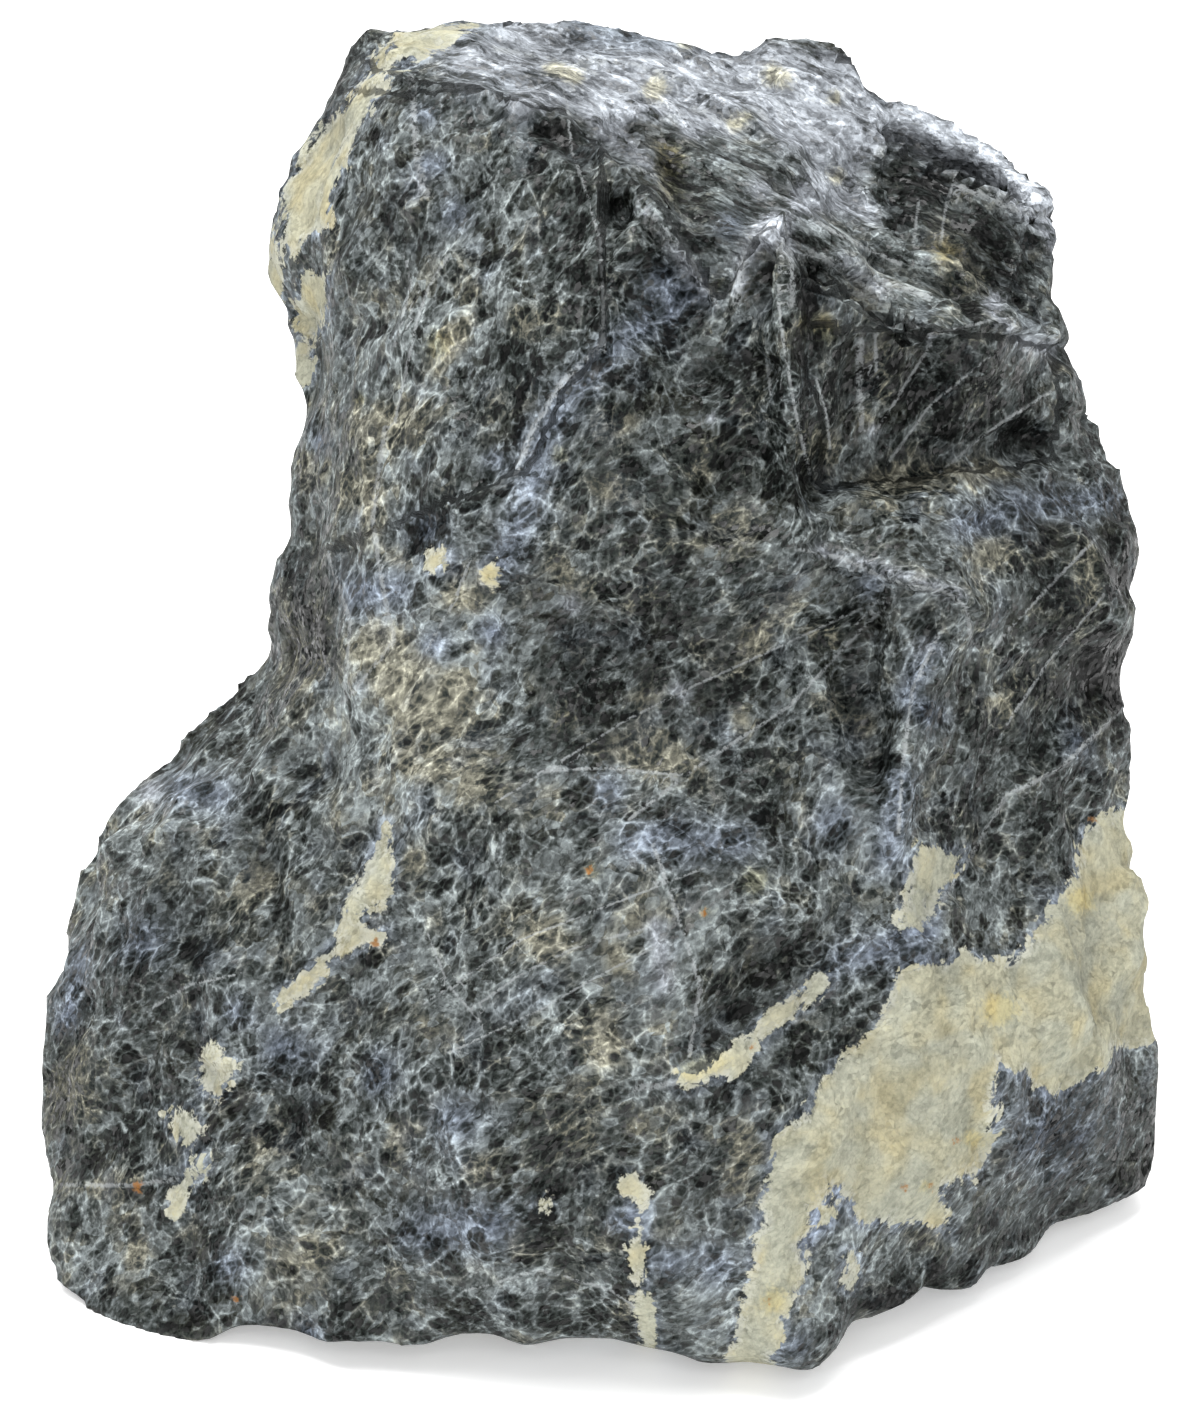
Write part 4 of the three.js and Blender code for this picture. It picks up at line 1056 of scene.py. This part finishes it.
swayed = kept("swayed", "Vector")
grain_place = kept("grain_place", "Vector")
small_cells = grain_place.cells(SMALL_CELL)
tiny_cells = grain_place.cells(TINY_CELL)
grain = swayed.noise(GRAIN, 2.0, 0.8) - 0.5
blots = grain_place.noise(BLOT, 1.0) - 0.5
net_place = grain_place.bent(*NET_SWAY)
net = net_place.edges(NET)
net_cells = net_place.cells(NET)
fine_net = grain_place.edges(FINE_NET)
threads = swayed.along_axes(THREAD_AXES).threads(THREAD, 2.0, THREAD_SPREAD)
plate_place = swayed.along_axes(PLATE_AXES)
plates = plate_place.cells(PLATE) * PLATE_SHARE
plates = plates + plate_place.cells(SMALL_PLATE) * (1 - PLATE_SHARE) - 0.5
blue_pick, beige_pick, olive_pick = kept_clouds("tints")
blue_region, shade_region, beige_region = kept_clouds("regions")
clouds = kept("clouds")
behind = 1 - kept("front")
blue = (kept("blue") + behind * blue_region.rise(*BACK_CLOUDS) * BACK_TINT).at_most(1)
beige = (kept("beige") + behind * beige_region.rise(*BACK_CLOUDS) * BACK_TINT).at_most(1)
fringe = kept("cream").rise(*FRINGE)
netted = 1 - kept("layered") * NET_MISSING

shade = MEAN_SHADE + fringe * FRINGE_SHADE + beige * BEIGE_SHADE + blue * BLUE_SHADE
# The zones: the rock's own tone, with painted shade in the black and dark ones and painted light in the
# pale ones.
for name, change in ZONE_SHADES.items():
    shade = shade + kept(name) * change
shade = shade + (kept("patches") - 0.5) * (PATCH_SHADES + behind * PATCH_SHADES_BEHIND)
shade = shade + (clouds - 0.5) * (CLOUD_SHADES + behind * CLOUD_SHADES_BEHIND)
shade = shade + (shade_region - 0.5) * behind * REGION_SHADES_BEHIND
shade = shade + (NET_LEVEL - net.rise(0.0, NET_SLOPE) * net_cells) * netted * NET_SHADES
fine_meshes = (FINE_NET_LEVEL - fine_net.rise(0.0, FINE_NET_SLOPE)) * (FINE_NET_LEAST + net_cells)
shade = shade + fine_meshes * netted * FINE_NET_SHADES
shade = shade + (small_cells - 0.5) * SMALL_CELL_SHADES + (tiny_cells - 0.5) * TINY_CELL_SHADES
shade = shade + grain * GRAIN_SHADES + blots * BLOT_SHADES
shade = shade + plates * kept("layered") * PLATE_SHADES
line = 1 - net.at_most(threads).rise(*THREAD_EDGE)
shade = shade + line * (clouds + grain).rise(0.4, 0.65) * THREAD_SHADE
shade = shade.at_least(DARKEST_SHADE)

veil = shade.rise(*VEIL)
rock_hue = (olive_pick.rise(0.5, 0.65) * 0.6).mix(ROCK_HUE, OLIVE_HUE)
rock_hue = (blue * 0.5 + fringe * 0.4 + blue_pick.rise(0.52, 0.68) * 0.4).mix(rock_hue, NAVY_HUE)
haze_hue = (beige_pick + beige * 0.35 - blue * 0.3 + (small_cells - 0.5) * 0.3).rise(0.45, 0.8)
haze_hue = haze_hue.mix(GREY_HUE, BEIGE_HUE)
haze_hue = (blue * 0.8 + fringe * 0.5 + blue_pick.rise(0.5, 0.8) * 0.4).mix(haze_hue, BLUE_HUE)
# The pale zones' bluish white is partly a painted sheen of the light from above.
haze_hue = kept("pale_and_lit").at_most(1).mix(haze_hue, PALE_AND_SHEEN_HUE)
light = shade.math("POWER", shade, SHADE_POWER) * BRIGHTEST
colour = veil.mix(rock_hue, haze_hue).scaled(light)

on_vein = 1 - abs(kept("vein_side") + grain * VEIN_WANDER).rise(0.3, 1.2)
on_vein = on_vein * (1 - kept("vein_near").rise(0.7, 1.0)) * (grain * 1.6 + clouds).rise(0.25, 0.55)
colour = (on_vein * VEIN_STRENGTH).mix(colour, WHITE_VEIN)

# The cream feldspar. Its edge is ragged, and it is paler along it here and there.
cream_edge = kept("cream") + 0.3 + grain * 1.8 + (small_cells - 0.5) * 1.3 + (clouds - 0.5) * 4
cream_mask = cream_edge.rise(-0.2, 0.2)
cream_tone = grain * 1.2 + (clouds - 0.5) * 1.0 + 0.55 + (small_cells - 0.5) * 0.25
cream_colour = cream_tone.rise(0.05, 0.9).mix(CREAM_SHADE, CREAM)
warm_cream = cream_colour.vector("MULTIPLY", CREAM_WARMTH)
grey_cream = cream_colour.vector("MULTIPLY", CREAM_GREY)
cream_colour = (beige_pick.rise(0.42, 0.68) * CREAM_VARIETY).mix(cream_colour, warm_cream)
cream_colour = (blue_pick.rise(0.45, 0.6) * CREAM_VARIETY).mix(cream_colour, grey_cream)
cream_rim = (1 - cream_edge.rise(0.3, 1.4)) * (olive_pick + grain).rise(0.4, 0.6)
cream_colour = (cream_rim * CREAM_VARIETY).mix(cream_colour, CREAM_RIM)
colour = cream_mask.mix(colour, cream_colour)

# Rust and ochre spots, then painted shade in the hollows and painted light on the ridges, by the relief's
# height.
rust_mask = (kept("rust") + grain * 1.6).rise(-0.25, 0.25)
colour = (rust_mask * RUST_STRENGTH).mix(colour, RUST)
ochre = (kept("ochre") + grain + (clouds - 0.5)).rise(0.1, 0.9) * OCHRE_STRENGTH
colour = ochre.mix(colour, colour.vector("MULTIPLY", OCHRE_TINT))
colour = colour.scaled(HOLLOW_PAINTED_SHADE + kept("raised").rise(*HOLLOW_TO_RIDGE) * RIDGE_PAINTED_LIGHT)
tree.links.new(colour.socket, shader.inputs["Base Color"])

# The gloss: small grains that each lie at their own tilt, waxy on the rock and duller on the cream.
roughness = ROUGHNESS + veil * HAZE_ROUGHNESS + small_cells * CELL_ROUGHNESS
roughness = roughness + cream_mask * CREAM_ROUGHNESS
tree.links.new(roughness.socket, shader.inputs["Roughness"])
bump_height = grain_place.chips(small_cells) * 0.8 + grain_place.chips(tiny_cells) * 1.1
bump = surface.node("ShaderNodeBump", {}, {"Strength": 1.0, "Distance": MM, "Height": bump_height})
tree.links.new(bump.socket, shader.inputs["Normal"])
sparkle = (tiny_cells * 0.7 + small_cells * 0.3).rise(0.55, 0.8) * (1 - cream_mask)
tree.links.new((sparkle * COAT).socket, shader.inputs["Coat Weight"])
shader.inputs["Coat Roughness"].default_value = COAT_ROUGHNESS
shader.inputs["Specular IOR Level"].default_value = SPECULAR
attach(stone, "root")
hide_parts("sodalite_stone")

# ---- The floor and the lights ----
# A pale table top and soft studio light, mostly from above, with a wide weak fill from the front.

FLOOR_SIZE = 6
FLOOR_COLOUR = (0.92, 0.92, 0.92, 1)
FLOOR_ROUGHNESS = 0.9
FLOOR_GLOW = 0.3  # keeps the far floor as pale as the near one
SURROUNDING_LIGHT = 0.7
WHITE = (1, 1, 1, 1)

floor_mesh = bpy.data.meshes.new("floor")
half = FLOOR_SIZE / 2
floor_corners = [(-half, -half, 0), (half, -half, 0), (half, half, 0), (-half, half, 0)]
floor_mesh.from_pydata(floor_corners, [], [(0, 1, 2, 3)])
floor = bpy.data.objects.new("floor", floor_mesh)
floor_material = bpy.data.materials.new("pale floor")
floor_material.use_nodes = True
floor_shader = floor_material.node_tree.nodes["Principled BSDF"]
floor_shader.inputs["Base Color"].default_value = FLOOR_COLOUR
floor_shader.inputs["Roughness"].default_value = FLOOR_ROUGHNESS
floor_shader.inputs["Emission Color"].default_value = WHITE
floor_shader.inputs["Emission Strength"].default_value = FLOOR_GLOW
floor_mesh.materials.append(floor_material)
bpy.context.scene.collection.objects.link(floor)


def soft_light(name, place, size, power):
    """A square panel of light that faces the stone."""
    data = bpy.data.lights.new(name, "AREA")
    data.shape = "SQUARE"
    data.size = size
    data.energy = power
    lamp = bpy.data.objects.new(name, data)
    lamp.location = place
    lamp.rotation_euler = (VIEW_MIDDLE - Vector(place)).to_track_quat("-Z", "Y").to_euler()
    bpy.context.scene.collection.objects.link(lamp)


soft_light("overhead panel", place=(-0.1, 0.08, 1.0), size=0.9, power=18)
soft_light("front fill", place=(0.1, -1.2, 0.55), size=0.9, power=10)
world = bpy.data.worlds.new("studio")
world.use_nodes = True
sky = world.node_tree.nodes["Background"]
sky.inputs["Color"].default_value = WHITE
sky.inputs["Strength"].default_value = SURROUNDING_LIGHT
bpy.context.scene.world = world
bpy.context.scene.view_settings.view_transform = "Standard"
